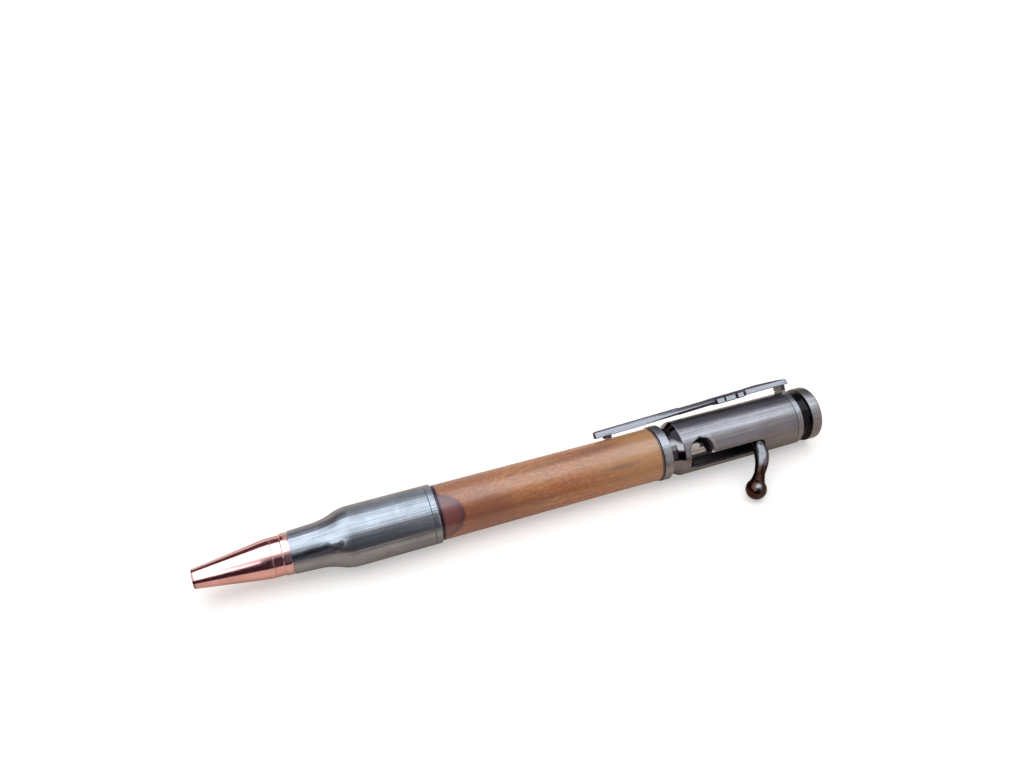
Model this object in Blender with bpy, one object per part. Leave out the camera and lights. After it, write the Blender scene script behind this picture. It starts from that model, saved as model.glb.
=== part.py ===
"""A bolt action ballpoint pen, lying on a table with its nib toward -X and its handle toward -Y.

Lengths are in metres. Along the pen, a station is a distance from the nib's front.
Round it, an angle is 0 on the handle's side (-Y), 90 on top (+Z) and 180 at the back.
"""
import math

import bmesh
import bpy
from mathutils import Vector

MM = 0.001

# Facets and fits
OUTER_FACETS = 48
INNER_FACETS = 32
ARC_STEPS = 4
WELD = 0.0005 * MM
OVERRUN = 1.0 * MM
SEAM = 0.1 * MM
SEAT_GAP = 0.1 * MM
RUNNING_GAP = 0.2 * MM

# Refill, its distances counted from the writing point, which rests inside the nib
REFILL_LENGTH = 98.1 * MM
POINT_DEPTH = 12.7 * MM
REFILL_RADIUS = 2.95 * MM
REFILL_WALL = 0.25 * MM
BALL_RADIUS = 0.5 * MM
BALL_GAP = 0.05 * MM
BALL_SHOWING = 0.3 * MM
TIP_LIP = 0.1 * MM
TIP_CONE_LENGTH = 2.3 * MM
TIP_RADIUS = 1.175 * MM
TIP_LENGTH = 8.0 * MM
NOSE_RADIUS = 1.6 * MM
NOSE_LENGTH = 6.0 * MM
NOSE_CONE_LENGTH = 1.2 * MM
REFILL_PLUG_LENGTH = 6.0 * MM
REFILL_PLUG_STEP = 0.5 * MM
REFILL_INSERT = 3.0 * MM

# Spring round the refill's nose
SPRING_WIRE_RADIUS = 0.2 * MM
SPRING_TURNS = 10
SPRING_POINTS_PER_TURN = 9

# Nib
NIB_FRONT_WALL = 0.62 * MM
NIB_CONE_LENGTH = 14.6 * MM
NIB_STEP = 0.42 * MM
NIB_SLEEVE_LENGTH = 3.0 * MM
NIB_BAND_LENGTH = 1.6 * MM
NIB_BAND_RISE = 0.22 * MM
NIB_GROOVE_DEPTH = 0.08 * MM
NIB_GROOVE_WIDTH = 0.2 * MM
NIB_EDGE = 0.3 * MM
NIB_SEAT_DEPTH = 5.0 * MM
NIB_SPRING_LENGTH = 5.6 * MM
NIB_SPIGOT_LENGTH = 6.0 * MM
NIB_SPIGOT_WALL = 0.55 * MM

# Casing, shaped like a bottlenecked cartridge case
CASING_LENGTH = 30.5 * MM
CASING_PROUD = 0.1 * MM
CASING_MOUTH_WALL = 0.65 * MM
CASING_NECK_TAPER = 0.38 * MM
CASING_NECK_LENGTH = 7.2 * MM
CASING_SHOULDER_LENGTH = 3.8 * MM
CASING_SHOULDER_BEND = 8.5 * MM
CASING_NECK_BEND = 11.0 * MM
CASING_GROOVE_FROM_REAR = 1.4 * MM
CASING_GROOVE_WIDTH = 0.25 * MM
CASING_GROOVE_DEPTH = 0.1 * MM
CASING_EDGE = 0.25 * MM

# Coupler between casing and barrel
COUPLER_WALL = 1.35 * MM
COUPLER_STUD_LENGTH = 10.0 * MM
COUPLER_FLANGE = 0.3 * MM
COUPLER_FLANGE_STEP = 0.1 * MM
COUPLER_SPIGOT_LENGTH = 8.0 * MM

# Wooden barrel on its brass tube
WOOD_WALL = 0.88 * MM
WOOD_FLARE = 0.12 * MM
WOOD_FLARE_LENGTH = 9.0 * MM
WOOD_EDGE = 0.1 * MM
TUBE_WALL = 0.4 * MM
TUBE_SETBACK = 0.2 * MM

# Ring between barrel and housing
RING_LENGTH = 2.05 * MM
RING_PROUD = 0.05 * MM
RING_EDGE = 0.12 * MM
RING_SPIGOT_LENGTH = 8.0 * MM
RING_STUD_WALL = 0.9 * MM
RING_STUD_LENGTH = 3.4 * MM

# Housing of the bolt
HOUSING_WALL = 2.4 * MM
HOUSING_NECK_DEPTH = 0.85 * MM
HOUSING_NECK_LENGTH = 1.5 * MM
HOUSING_CONE_LENGTH = 1.5 * MM
HOUSING_EDGE = 0.12 * MM
HOUSING_END_WALL = 6.0 * MM
HOUSING_END_ROOM = 1.55 * MM

# Opening of the housing: a slot along the pen, and a round pocket higher up at its front
SLOT_ANGLE = 5.0
SLOT_SIDE_GAP = 0.3 * MM
SLOT_FROM_FRONT = 4.35 * MM
POCKET_ANGLE = 34.0
POCKET_ROOM = 0.95 * MM
RELIEF_SHIFT = 1.1 * MM
RELIEF_WIDENING = 0.5 * MM
RELIEF_DEPTH = 0.7 * MM

# Bolt and handle
BOLT_WALL = 0.55 * MM
BOLT_BEHIND_HANDLE = 3.0 * MM
BOLT_BEFORE_SLOT = 3.5 * MM
BOLT_CUP_DEPTH = 6.2 * MM
BOLT_EDGE = 0.3 * MM
HANDLE_TRAVEL = 15.5 * MM
HANDLE_RADIUS = 1.35 * MM
HANDLE_END_RADIUS = 1.17 * MM
HANDLE_ROOT_DEPTH = 2.4 * MM
HANDLE_STANDOFF = 2.4 * MM
HANDLE_BEND = 7.0 * MM
KNOB_RADIUS = 2.4 * MM
KNOB_SWEEP = 4.9 * MM
KNOB_STANDOFF = 8.1 * MM
KNOB_SOCKET_DEPTH = 1.9 * MM

# Clip, in the outline of a rifle seen from the side
CLIP_ANGLE = 134.0
CLIP_LENGTH = 50.25 * MM
CLIP_OVERHANG = 0.9 * MM
CLIP_PROFILE_SHARES = (0.0, 0.22, 0.38, 0.61, 0.88, 1.0)
CLIP_GAPS = (0.4 * MM, 0.65 * MM, 1.02 * MM, 1.38 * MM, 1.7 * MM, 1.72 * MM)
CLIP_THICKNESSES = (1.4 * MM, 1.3 * MM, 1.2 * MM, 1.2 * MM, 1.25 * MM, 1.2 * MM)
CLIP_EDGE = 0.12 * MM
BARREL_HALF_WIDTH = 0.95 * MM
FOREND_HALF_WIDTH = 1.9 * MM
RECEIVER_HALF_WIDTH = 1.25 * MM
SCOPE_REACH = 2.15 * MM
SCOPE_TUBE_REACH = 1.5 * MM
TRIGGER_REACH = 2.0 * MM
TRIGGER_RECESS = 1.05 * MM
COMB_REACH = 2.5 * MM
STOCK_REACH = 2.3 * MM
BUTT_HALF_WIDTH = 1.75 * MM
CLIP_POST_THICKNESS = 1.0 * MM
CLIP_POST_HALF_WIDTH = 1.7 * MM
CLIP_FOOT_FROM_MUZZLE = 2.75 * MM
CLIP_FOOT_LENGTH = 1.9 * MM
CLIP_FOOT_HALF_WIDTH = 0.9 * MM
CLIP_FOOT_GAP = 0.15 * MM

# Rifle outline: shares of the clip's length from the muzzle, for each change of width
FOREND_START_SHARE = 0.29
FOREND_FULL_SHARE = 0.41
SCOPE_FRONT_SHARE = 0.418
SCOPE_BELL_SHARE = 0.46
SCOPE_WAIST_SHARE = 0.49
RECEIVER_SHARE = 0.607
MAGAZINE_START_SHARE = 0.619
MAGAZINE_END_SHARE = 0.658
GUARD_START_SHARE = 0.664
GUARD_END_SHARE = 0.718
GRIP_START_SHARE = 0.731
GRIP_END_SHARE = 0.762
STOCK_SHARE = 0.78
COMB_SHARE = 0.865
HEEL_SHARE = 0.945

# Clip ring and end cap
CLIP_RING_LENGTH = 1.4 * MM
CLIP_RING_STEP = 0.05 * MM
CLIP_TAB_RISE = 0.35 * MM
CAP_NECK_DEPTH = 1.0 * MM
CAP_NECK_LENGTH = 2.4 * MM
CAP_NECK_FILLET = 0.5 * MM
CAP_RIM_LENGTH = 2.7 * MM
CAP_RIM_FRONT_EDGE = 0.15 * MM
CAP_RIM_REAR_EDGE = 0.45 * MM
CAP_STUD_RADIUS = 2.5 * MM
CAP_STUD_LENGTH = 9.5 * MM
CAP_STUD_INSERT = 3.2 * MM

# Radii, from the refill outwards
REFILL_BORE = REFILL_RADIUS + RUNNING_GAP
REFILL_INNER_RADIUS = REFILL_RADIUS - REFILL_WALL
SPRING_RADIUS = NOSE_RADIUS + RUNNING_GAP + SPRING_WIRE_RADIUS
SPRING_BORE = SPRING_RADIUS + SPRING_WIRE_RADIUS + SEAT_GAP
TIP_BORE = TIP_RADIUS + RUNNING_GAP
NIB_FRONT_RADIUS = TIP_BORE + NIB_FRONT_WALL
NIB_SPIGOT_RADIUS = REFILL_BORE + NIB_SPIGOT_WALL
NIB_RADIUS = NIB_SPIGOT_RADIUS + NIB_STEP
CASING_MOUTH_BORE = NIB_SPIGOT_RADIUS + SEAT_GAP
CASING_MOUTH_RADIUS = CASING_MOUTH_BORE + CASING_MOUTH_WALL
CASING_NECK_RADIUS = CASING_MOUTH_RADIUS + CASING_NECK_TAPER
COUPLER_RADIUS = REFILL_BORE + COUPLER_WALL
TUBE_BORE = COUPLER_RADIUS + SEAT_GAP
TUBE_RADIUS = TUBE_BORE + TUBE_WALL
WOOD_BORE = TUBE_RADIUS + SEAT_GAP
WOOD_RADIUS = WOOD_BORE + WOOD_WALL
WOOD_REAR_RADIUS = WOOD_RADIUS + WOOD_FLARE
BOLT_RADIUS = REFILL_BORE + BOLT_WALL
BOLT_BORE = BOLT_RADIUS + RUNNING_GAP
HOUSING_RADIUS = BOLT_BORE + HOUSING_WALL
HOUSING_NECK_RADIUS = HOUSING_RADIUS - HOUSING_NECK_DEPTH
CASING_RADIUS = HOUSING_RADIUS + CASING_PROUD
RING_RADIUS = HOUSING_RADIUS + RING_PROUD
RING_STUD_RADIUS = BOLT_BORE + RING_STUD_WALL
CLIP_RING_RADIUS = HOUSING_RADIUS - CLIP_RING_STEP
CAP_RIM_RADIUS = HOUSING_RADIUS
CAP_NECK_RADIUS = CAP_RIM_RADIUS - CAP_NECK_DEPTH
CAP_STUD_BORE = CAP_STUD_RADIUS + SEAT_GAP
SLOT_HALF_WIDTH = HANDLE_RADIUS + SLOT_SIDE_GAP
POCKET_RADIUS = HANDLE_RADIUS + POCKET_ROOM
RELIEF_RADIUS = POCKET_RADIUS + RELIEF_WIDENING

# Stations from the nib back to the wood's front
NIB_REAR = NIB_CONE_LENGTH + NIB_SLEEVE_LENGTH + NIB_BAND_LENGTH
CASING_FRONT = NIB_REAR + SEAM
CASING_REAR = CASING_FRONT + CASING_LENGTH
FLANGE_FRONT = CASING_REAR + SEAM
WOOD_FRONT = FLANGE_FRONT + COUPLER_FLANGE + SEAM

# Stations of the refill, and of the bolt that its end sits in
REFILL_POINT = POINT_DEPTH
NOSE_FRONT = REFILL_POINT + TIP_LENGTH + SEAM
NOSE_SHOULDER = NOSE_FRONT + NOSE_LENGTH
REFILL_BODY_FRONT = NOSE_SHOULDER + NOSE_CONE_LENGTH + SEAM
REFILL_REAR = REFILL_POINT + REFILL_LENGTH
REFILL_PLUG_FRONT = REFILL_REAR - REFILL_PLUG_LENGTH
REFILL_BODY_REAR = REFILL_PLUG_FRONT - SEAM
BOLT_CUP_FLOOR = REFILL_REAR + SEAT_GAP
BOLT_FRONT = BOLT_CUP_FLOOR - BOLT_CUP_DEPTH

# Stations of the slot and the handle, then forward to the wood's rear and back to the cap
SLOT_FRONT = BOLT_FRONT + BOLT_BEFORE_SLOT
POCKET_STATION = SLOT_FRONT + POCKET_RADIUS
HANDLE_STATION = POCKET_STATION + HANDLE_TRAVEL
SLOT_REAR = HANDLE_STATION + SLOT_HALF_WIDTH
BOLT_REAR = HANDLE_STATION + BOLT_BEHIND_HANDLE
HOUSING_FRONT = SLOT_FRONT - SLOT_FROM_FRONT
HOUSING_BODY_FRONT = HOUSING_FRONT + HOUSING_NECK_LENGTH + HOUSING_CONE_LENGTH
RING_REAR = HOUSING_FRONT - SEAM
RING_FRONT = RING_REAR - RING_LENGTH
WOOD_REAR = RING_FRONT - SEAM
WOOD_LENGTH = WOOD_REAR - WOOD_FRONT
HOUSING_END_WALL_FRONT = BOLT_REAR + HOUSING_END_ROOM
HOUSING_REAR = HOUSING_END_WALL_FRONT + HOUSING_END_WALL
CLIP_RING_FRONT = HOUSING_REAR + SEAM
CLIP_RING_REAR = CLIP_RING_FRONT + CLIP_RING_LENGTH
CAP_FRONT = CLIP_RING_REAR + SEAM
CAP_RIM_FRONT = CAP_FRONT + CAP_NECK_LENGTH
CAP_REAR = CAP_RIM_FRONT + CAP_RIM_LENGTH

# Stations and heights of the clip, and reaches of the handle
CLIP_REAR = CLIP_RING_REAR + CLIP_OVERHANG
CLIP_FRONT = CLIP_REAR - CLIP_LENGTH
CLIP_TAB_TOP = CLIP_RING_RADIUS + CLIP_TAB_RISE
CLIP_FLEX_HEIGHT = CLIP_TAB_TOP + SEAT_GAP / 2
CLIP_FLEX_STATION = CLIP_RING_REAR - CLIP_POST_THICKNESS / 2
HANDLE_CORNER_REACH = HOUSING_RADIUS + HANDLE_STANDOFF
KNOB_REACH = HOUSING_RADIUS + KNOB_STANDOFF


def clear_scene():
    for item in list(bpy.data.objects):
        bpy.data.objects.remove(item, do_unlink=True)


def material(name, colour, metallic, roughness):
    made = bpy.data.materials.new(name)
    made.use_nodes = True
    shader = made.node_tree.nodes["Principled BSDF"]
    shader.inputs["Base Color"].default_value = (*colour, 1.0)
    shader.inputs["Metallic"].default_value = metallic
    shader.inputs["Roughness"].default_value = roughness
    return made


def copper(name):
    return material(name, (0.80, 0.47, 0.38), 1.0, 0.12)


def pewter(name):
    return material(name, (0.42, 0.43, 0.45), 1.0, 0.34)


def gunmetal(name):
    return material(name, (0.27, 0.26, 0.28), 1.0, 0.24)


def steel(name):
    return material(name, (0.60, 0.60, 0.62), 1.0, 0.22)


def brass(name):
    return material(name, (0.70, 0.52, 0.22), 1.0, 0.30)


def wood(name):
    return material(name, (0.42, 0.21, 0.10), 0.0, 0.42)


def plastic(name):
    return material(name, (0.05, 0.07, 0.20), 0.0, 0.40)


def empty(name, place, parent=None):
    """A plain axis that a moving group hangs on."""
    made = bpy.data.objects.new(name, None)
    made.location = place
    bpy.context.scene.collection.objects.link(made)
    made.parent = parent
    return made


def placed(name, mesh, paint, parent, offset=(0, 0, 0)):
    """Links a mesh as an object, its own origin moved to its parent's axis."""
    made = bpy.data.objects.new(name, mesh)
    made.parent = parent
    made.location = offset
    bpy.context.scene.collection.objects.link(made)
    made.data.materials.append(paint)
    return made


def smooth(mesh, sharp_degrees=30.0):
    mesh.shade_smooth()
    mesh.set_sharp_from_angle(angle=math.radians(sharp_degrees))


def rounded(corners):
    """Points of a path whose corners may carry a fillet: (point,) or (point, fillet radius)."""
    points = []
    for index, corner in enumerate(corners):
        here = Vector(corner[0])
        if len(corner) == 1:
            points.append(here)
            continue
        before = Vector(corners[index - 1][0]) - here
        after = Vector(corners[(index + 1) % len(corners)][0]) - here
        half = before.angle(after) / 2
        reach = min(corner[1] / math.tan(half), before.length / 2, after.length / 2)
        centre = here + (before.normalized() + after.normalized()).normalized() * reach / math.cos(half)
        start = here + before.normalized() * reach - centre
        end = here + after.normalized() * reach - centre
        turn = start.angle(end)
        for step in range(ARC_STEPS + 1):
            share = step / ARC_STEPS
            swung = start * math.sin((1 - share) * turn) + end * math.sin(share * turn)
            points.append(centre + swung / math.sin(turn))
    return points


def arc(centre_station, radius, start_degrees, end_degrees, steps):
    """Outline points on a circle about the axis, angles counted from the rear."""
    points = []
    for step in range(steps + 1):
        angle = math.radians(start_degrees + (end_degrees - start_degrees) * step / steps)
        points.append(((centre_station + radius * math.cos(angle), abs(radius * math.sin(angle))),))
    return points


def finish(name, shape):
    """Turns a bmesh into a mesh with its faces pointing out."""
    bmesh.ops.recalc_face_normals(shape, faces=shape.faces)
    mesh = bpy.data.meshes.new(name)
    shape.to_mesh(mesh)
    shape.free()
    smooth(mesh)
    return mesh


def turned(name, corners, facets, origin=0.0):
    """Spins an outline of (station, radius) corners about X.

    An outline that starts and ends on the axis is open there, any other is closed.
    """
    shape = bmesh.new()
    rim = [shape.verts.new((point.x - origin, 0, point.y)) for point in rounded(corners)]
    pairs = list(zip(rim, rim[1:]))
    if corners[0][0][1] > 0 or corners[-1][0][1] > 0:
        pairs.append((rim[-1], rim[0]))
    lines = [shape.edges.new(pair) for pair in pairs]
    bmesh.ops.spin(shape, geom=rim + lines, cent=(0, 0, 0), axis=(1, 0, 0),
                   angle=math.tau, steps=facets, use_merge=True)
    bmesh.ops.remove_doubles(shape, verts=shape.verts, dist=WELD)
    return finish(name, shape)


def prism(name, outline, low, high, knots=()):
    """Raises a flat outline of (x, y) points between the heights low(x) and high(x).

    The heights are straight between the knots, where the outline is cut across.
    """
    shape = bmesh.new()
    floor = shape.faces.new([shape.verts.new((x, y, 0)) for x, y in outline])
    raised = bmesh.ops.extrude_face_region(shape, geom=[floor])["geom"]
    roof = [item for item in raised if isinstance(item, bmesh.types.BMVert)]
    bmesh.ops.translate(shape, verts=roof, vec=(0, 0, OVERRUN))
    for knot in knots:
        everything = shape.verts[:] + shape.edges[:] + shape.faces[:]
        bmesh.ops.bisect_plane(shape, geom=everything, plane_co=(knot, 0, 0), plane_no=(1, 0, 0))
    for vertex in shape.verts:
        height = high if vertex.co.z > OVERRUN / 2 else low
        vertex.co.z = height(vertex.co.x)
    return finish(name, shape)


def tube(name, points, radii, sides):
    """A curve object's data: a round rod of changing radius along the points."""
    rod = bpy.data.curves.new(name, "CURVE")
    rod.dimensions = "3D"
    rod.bevel_depth = 1
    rod.bevel_resolution = sides // 2 - 2
    rod.use_fill_caps = True
    line = rod.splines.new("POLY")
    line.points.add(len(points) - 1)
    for index, point in enumerate(points):
        line.points[index].co = (*point, 1)
        line.points[index].radius = radii[index]
    line.use_smooth = True
    return rod


def around(angle):
    """Unit vector straight out from the axis at an angle round the pen."""
    turn = math.radians(angle)
    return Vector((0, -math.cos(turn), math.sin(turn)))


def turn_to(item, angle):
    """Turns an object so that its own +Z points out at an angle round the pen."""
    item.rotation_euler.x = math.radians(90.0 - angle)


def cut(item, cutter_mesh, angle):
    """Takes a hidden cutter, turned to an angle round the pen, out of an object."""
    cutter = bpy.data.objects.new(cutter_mesh.name, cutter_mesh)
    bpy.context.scene.collection.objects.link(cutter)
    cutter.parent = item.parent
    cutter.location = item.location
    turn_to(cutter, angle)
    cutter.hide_render = True
    cutter.display_type = "WIRE"
    taken = item.modifiers.new(cutter_mesh.name, "BOOLEAN")
    taken.operation = "DIFFERENCE"
    taken.solver = "EXACT"
    taken.object = cutter


def nib_tip(parent):
    """Copper nose: a long cone, a sleeve with a scribed line, a raised band and the hidden spigot."""
    sleeve_rear = NIB_CONE_LENGTH + NIB_SLEEVE_LENGTH
    band_radius = NIB_RADIUS + NIB_BAND_RISE
    groove = NIB_CONE_LENGTH + NIB_SLEEVE_LENGTH / 3
    bore_front = NIB_SEAT_DEPTH + NIB_SPRING_LENGTH
    corners = [
        ((0, NIB_FRONT_RADIUS), NIB_EDGE),
        ((NIB_CONE_LENGTH, NIB_RADIUS),),
        ((groove, NIB_RADIUS),),
        ((groove + NIB_GROOVE_WIDTH / 2, NIB_RADIUS - NIB_GROOVE_DEPTH),),
        ((groove + NIB_GROOVE_WIDTH, NIB_RADIUS),),
        ((sleeve_rear, NIB_RADIUS),),
        ((sleeve_rear + NIB_BAND_RISE, band_radius),),
        ((NIB_REAR, band_radius), NIB_GROOVE_DEPTH),
        ((NIB_REAR, NIB_SPIGOT_RADIUS),),
        ((NIB_REAR + NIB_SPIGOT_LENGTH, NIB_SPIGOT_RADIUS),),
        ((NIB_REAR + NIB_SPIGOT_LENGTH, REFILL_BORE),),
        ((bore_front + (REFILL_BORE - SPRING_BORE), REFILL_BORE),),
        ((bore_front, SPRING_BORE),),
        ((NIB_SEAT_DEPTH, SPRING_BORE),),
        ((NIB_SEAT_DEPTH, TIP_BORE),),
        ((0, TIP_BORE),),
    ]
    return placed("nib_tip", turned("nib_tip", corners, OUTER_FACETS), copper("nib_copper"), parent)


def front_casing(parent):
    """Cartridge case: a tapering neck, an S-shaped shoulder and a straight body, bored from both ends."""
    neck_rear = CASING_FRONT + CASING_NECK_LENGTH
    shoulder_rear = neck_rear + CASING_SHOULDER_LENGTH
    groove = CASING_REAR - CASING_GROOVE_FROM_REAR
    groove_floor = CASING_RADIUS - CASING_GROOVE_DEPTH
    socket_floor = CASING_FRONT + NIB_SPIGOT_LENGTH + SEAT_GAP
    stud_floor = CASING_REAR - COUPLER_STUD_LENGTH - SEAT_GAP
    corners = [
        ((CASING_FRONT, CASING_MOUTH_RADIUS), CASING_GROOVE_DEPTH),
        ((neck_rear, CASING_NECK_RADIUS), CASING_NECK_BEND),
        ((shoulder_rear, CASING_RADIUS), CASING_SHOULDER_BEND),
        ((groove - CASING_GROOVE_WIDTH / 2, CASING_RADIUS),),
        ((groove, groove_floor),),
        ((groove + CASING_GROOVE_WIDTH / 2, CASING_RADIUS),),
        ((CASING_REAR, CASING_RADIUS), CASING_EDGE),
        ((CASING_REAR, TUBE_BORE),),
        ((stud_floor, TUBE_BORE),),
        ((stud_floor, REFILL_BORE),),
        ((socket_floor, REFILL_BORE),),
        ((socket_floor, CASING_MOUTH_BORE),),
        ((CASING_FRONT, CASING_MOUTH_BORE),),
    ]
    return placed("front_casing", turned("front_casing", corners, OUTER_FACETS), pewter("casing_pewter"), parent)


def front_coupler(parent):
    """Sleeve pressed into the tube, with a thin flange that bears on the wood and a stud for the casing."""
    stud_front = CASING_REAR - COUPLER_STUD_LENGTH
    flange_rear = FLANGE_FRONT + COUPLER_FLANGE
    spigot_rear = WOOD_FRONT + COUPLER_SPIGOT_LENGTH
    flange_radius = WOOD_RADIUS - COUPLER_FLANGE_STEP
    corners = [
        ((stud_front, COUPLER_RADIUS),),
        ((FLANGE_FRONT, COUPLER_RADIUS),),
        ((FLANGE_FRONT, flange_radius),),
        ((flange_rear, flange_radius),),
        ((flange_rear, COUPLER_RADIUS),),
        ((spigot_rear, COUPLER_RADIUS),),
        ((spigot_rear, REFILL_BORE),),
        ((stud_front, REFILL_BORE),),
    ]
    return placed("front_coupler", turned("front_coupler", corners, INNER_FACETS), gunmetal("coupler_steel"), parent)


def wood_barrel(parent):
    """Turned wooden sleeve, nearly straight, a touch wider where it meets the ring."""
    corners = [
        ((WOOD_FRONT, WOOD_RADIUS), WOOD_EDGE),
        ((WOOD_REAR - WOOD_FLARE_LENGTH, WOOD_RADIUS), WOOD_LENGTH),
        ((WOOD_REAR, WOOD_REAR_RADIUS), WOOD_EDGE),
        ((WOOD_REAR, WOOD_BORE),),
        ((WOOD_FRONT, WOOD_BORE),),
    ]
    return placed("wood_barrel", turned("wood_barrel", corners, OUTER_FACETS), wood("barrel_wood"), parent)


def brass_tube(parent):
    """Lining that is glued into the wood and takes both couplers."""
    front = WOOD_FRONT + TUBE_SETBACK
    rear = WOOD_REAR - TUBE_SETBACK
    corners = [((front, TUBE_RADIUS),), ((rear, TUBE_RADIUS),), ((rear, TUBE_BORE),), ((front, TUBE_BORE),)]
    return placed("brass_tube", turned("brass_tube", corners, INNER_FACETS), brass("tube_brass"), parent)


def ring_coupler(parent):
    """Visible ring with a spigot for the tube in front and a stud for the housing behind."""
    spigot_front = RING_FRONT - RING_SPIGOT_LENGTH
    stud_rear = RING_REAR + RING_STUD_LENGTH
    corners = [
        ((spigot_front, COUPLER_RADIUS),),
        ((RING_FRONT, COUPLER_RADIUS),),
        ((RING_FRONT, RING_RADIUS), RING_EDGE),
        ((RING_REAR, RING_RADIUS), RING_EDGE),
        ((RING_REAR, RING_STUD_RADIUS),),
        ((stud_rear, RING_STUD_RADIUS),),
        ((stud_rear, BOLT_BORE),),
        ((spigot_front, BOLT_BORE),),
    ]
    return placed("ring_coupler", turned("ring_coupler", corners, OUTER_FACETS), pewter("ring_pewter"), parent)


def slot_cutter():
    """Long slot: square in front, round behind, from the axis out through the wall."""
    half = SLOT_HALF_WIDTH
    outline = [(SLOT_FRONT, half), (SLOT_FRONT, -half)]
    steps = INNER_FACETS // 2
    for step in range(steps + 1):
        angle = math.pi * (step / steps) - math.pi / 2
        outline.append((SLOT_REAR - half + half * math.cos(angle), half * math.sin(angle)))
    return prism("slot_cutter", outline, lambda x: 0.0, lambda x: HOUSING_RADIUS + OVERRUN)


def crossing_cutter():
    """Way from the slot up to the pocket: a block swung round the pen's axis."""
    shape = bmesh.new()
    inner = BOLT_RADIUS / 2
    outer = HOUSING_RADIUS + OVERRUN
    steps = INNER_FACETS // 4
    rings = []
    for step in range(steps + 1):
        angle = math.radians(POCKET_ANGLE - SLOT_ANGLE) * step / steps
        ring = []
        for station, radius in ((SLOT_FRONT, inner), (POCKET_STATION, inner),
                                (POCKET_STATION, outer), (SLOT_FRONT, outer)):
            ring.append(shape.verts.new((station, -radius * math.sin(angle), radius * math.cos(angle))))
        rings.append(ring)
    for ring, after in zip(rings, rings[1:]):
        for index in range(len(ring)):
            turned_index = (index + 1) % len(ring)
            shape.faces.new((ring[index], ring[turned_index], after[turned_index], after[index]))
    shape.faces.new(rings[0])
    shape.faces.new(reversed(rings[-1]))
    return finish("crossing_cutter", shape)


def round_cutter(name, station, low, low_radius, high, high_radius):
    """Round or conical cutter standing out from the axis at a station."""
    shape = bmesh.new()
    bmesh.ops.create_cone(shape, cap_ends=True, segments=INNER_FACETS, radius1=low_radius,
                          radius2=high_radius, depth=high - low)
    bmesh.ops.translate(shape, verts=shape.verts, vec=(station, 0, (low + high) / 2))
    return finish(name, shape)


def bolt_housing(parent):
    """Receiver: polished neck and cone, long bored body, and the J-shaped opening for the handle."""
    stud_bore = RING_STUD_RADIUS + SEAT_GAP
    stud_floor = RING_REAR + RING_STUD_LENGTH + SEAT_GAP
    neck_rear = HOUSING_FRONT + HOUSING_NECK_LENGTH
    corners = [
        ((HOUSING_FRONT, HOUSING_NECK_RADIUS),),
        ((neck_rear, HOUSING_NECK_RADIUS), HOUSING_NECK_LENGTH / 2),
        ((HOUSING_BODY_FRONT, HOUSING_RADIUS), HOUSING_CONE_LENGTH / 2),
        ((HOUSING_REAR, HOUSING_RADIUS), HOUSING_EDGE),
        ((HOUSING_REAR, CAP_STUD_BORE),),
        ((HOUSING_END_WALL_FRONT, CAP_STUD_BORE),),
        ((HOUSING_END_WALL_FRONT, BOLT_BORE),),
        ((stud_floor, BOLT_BORE),),
        ((stud_floor, stud_bore),),
        ((HOUSING_FRONT, stud_bore),),
    ]
    housing = placed("bolt_housing", turned("bolt_housing", corners, OUTER_FACETS),
                     gunmetal("housing_gunmetal"), parent)
    top = HOUSING_RADIUS + OVERRUN
    cone_slope = (RELIEF_RADIUS - POCKET_RADIUS) / RELIEF_DEPTH
    cut(housing, slot_cutter(), SLOT_ANGLE)
    cut(housing, crossing_cutter(), POCKET_ANGLE)
    cut(housing, round_cutter("pocket_cutter", POCKET_STATION, 0.0, POCKET_RADIUS, top, POCKET_RADIUS),
        POCKET_ANGLE)
    cut(housing, round_cutter("relief_cutter", POCKET_STATION + RELIEF_SHIFT,
                              HOUSING_RADIUS - RELIEF_DEPTH, POCKET_RADIUS,
                              top, RELIEF_RADIUS + cone_slope * OVERRUN), POCKET_ANGLE)
    return housing


def bolt_body(parent):
    """Sliding bolt: a cup in front holds the refill's end, a cross hole behind takes the handle."""
    corners = [
        ((BOLT_CUP_FLOOR, 0),),
        ((BOLT_CUP_FLOOR, REFILL_BORE),),
        ((BOLT_FRONT, REFILL_BORE),),
        ((BOLT_FRONT, BOLT_RADIUS), BOLT_EDGE / 2),
        ((BOLT_REAR, BOLT_RADIUS), BOLT_EDGE),
        ((BOLT_REAR, 0),),
    ]
    bolt = placed("bolt_body", turned("bolt_body", corners, OUTER_FACETS, HANDLE_STATION),
                  steel("bolt_steel"), parent)
    hole = round_cutter("handle_hole_cutter", 0.0, BOLT_RADIUS - HANDLE_ROOT_DEPTH - SEAT_GAP,
                        HANDLE_RADIUS + SEAT_GAP, BOLT_RADIUS + OVERRUN, HANDLE_RADIUS + SEAT_GAP)
    cut(bolt, hole, SLOT_ANGLE)
    return bolt


def knob_place():
    """Centre of the knob, counted from the handle's root on the axis: it rests on the table."""
    return Vector((-KNOB_SWEEP, -KNOB_REACH, KNOB_RADIUS - CASING_RADIUS))


def handle_corner():
    return around(SLOT_ANGLE) * HANDLE_CORNER_REACH


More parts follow.
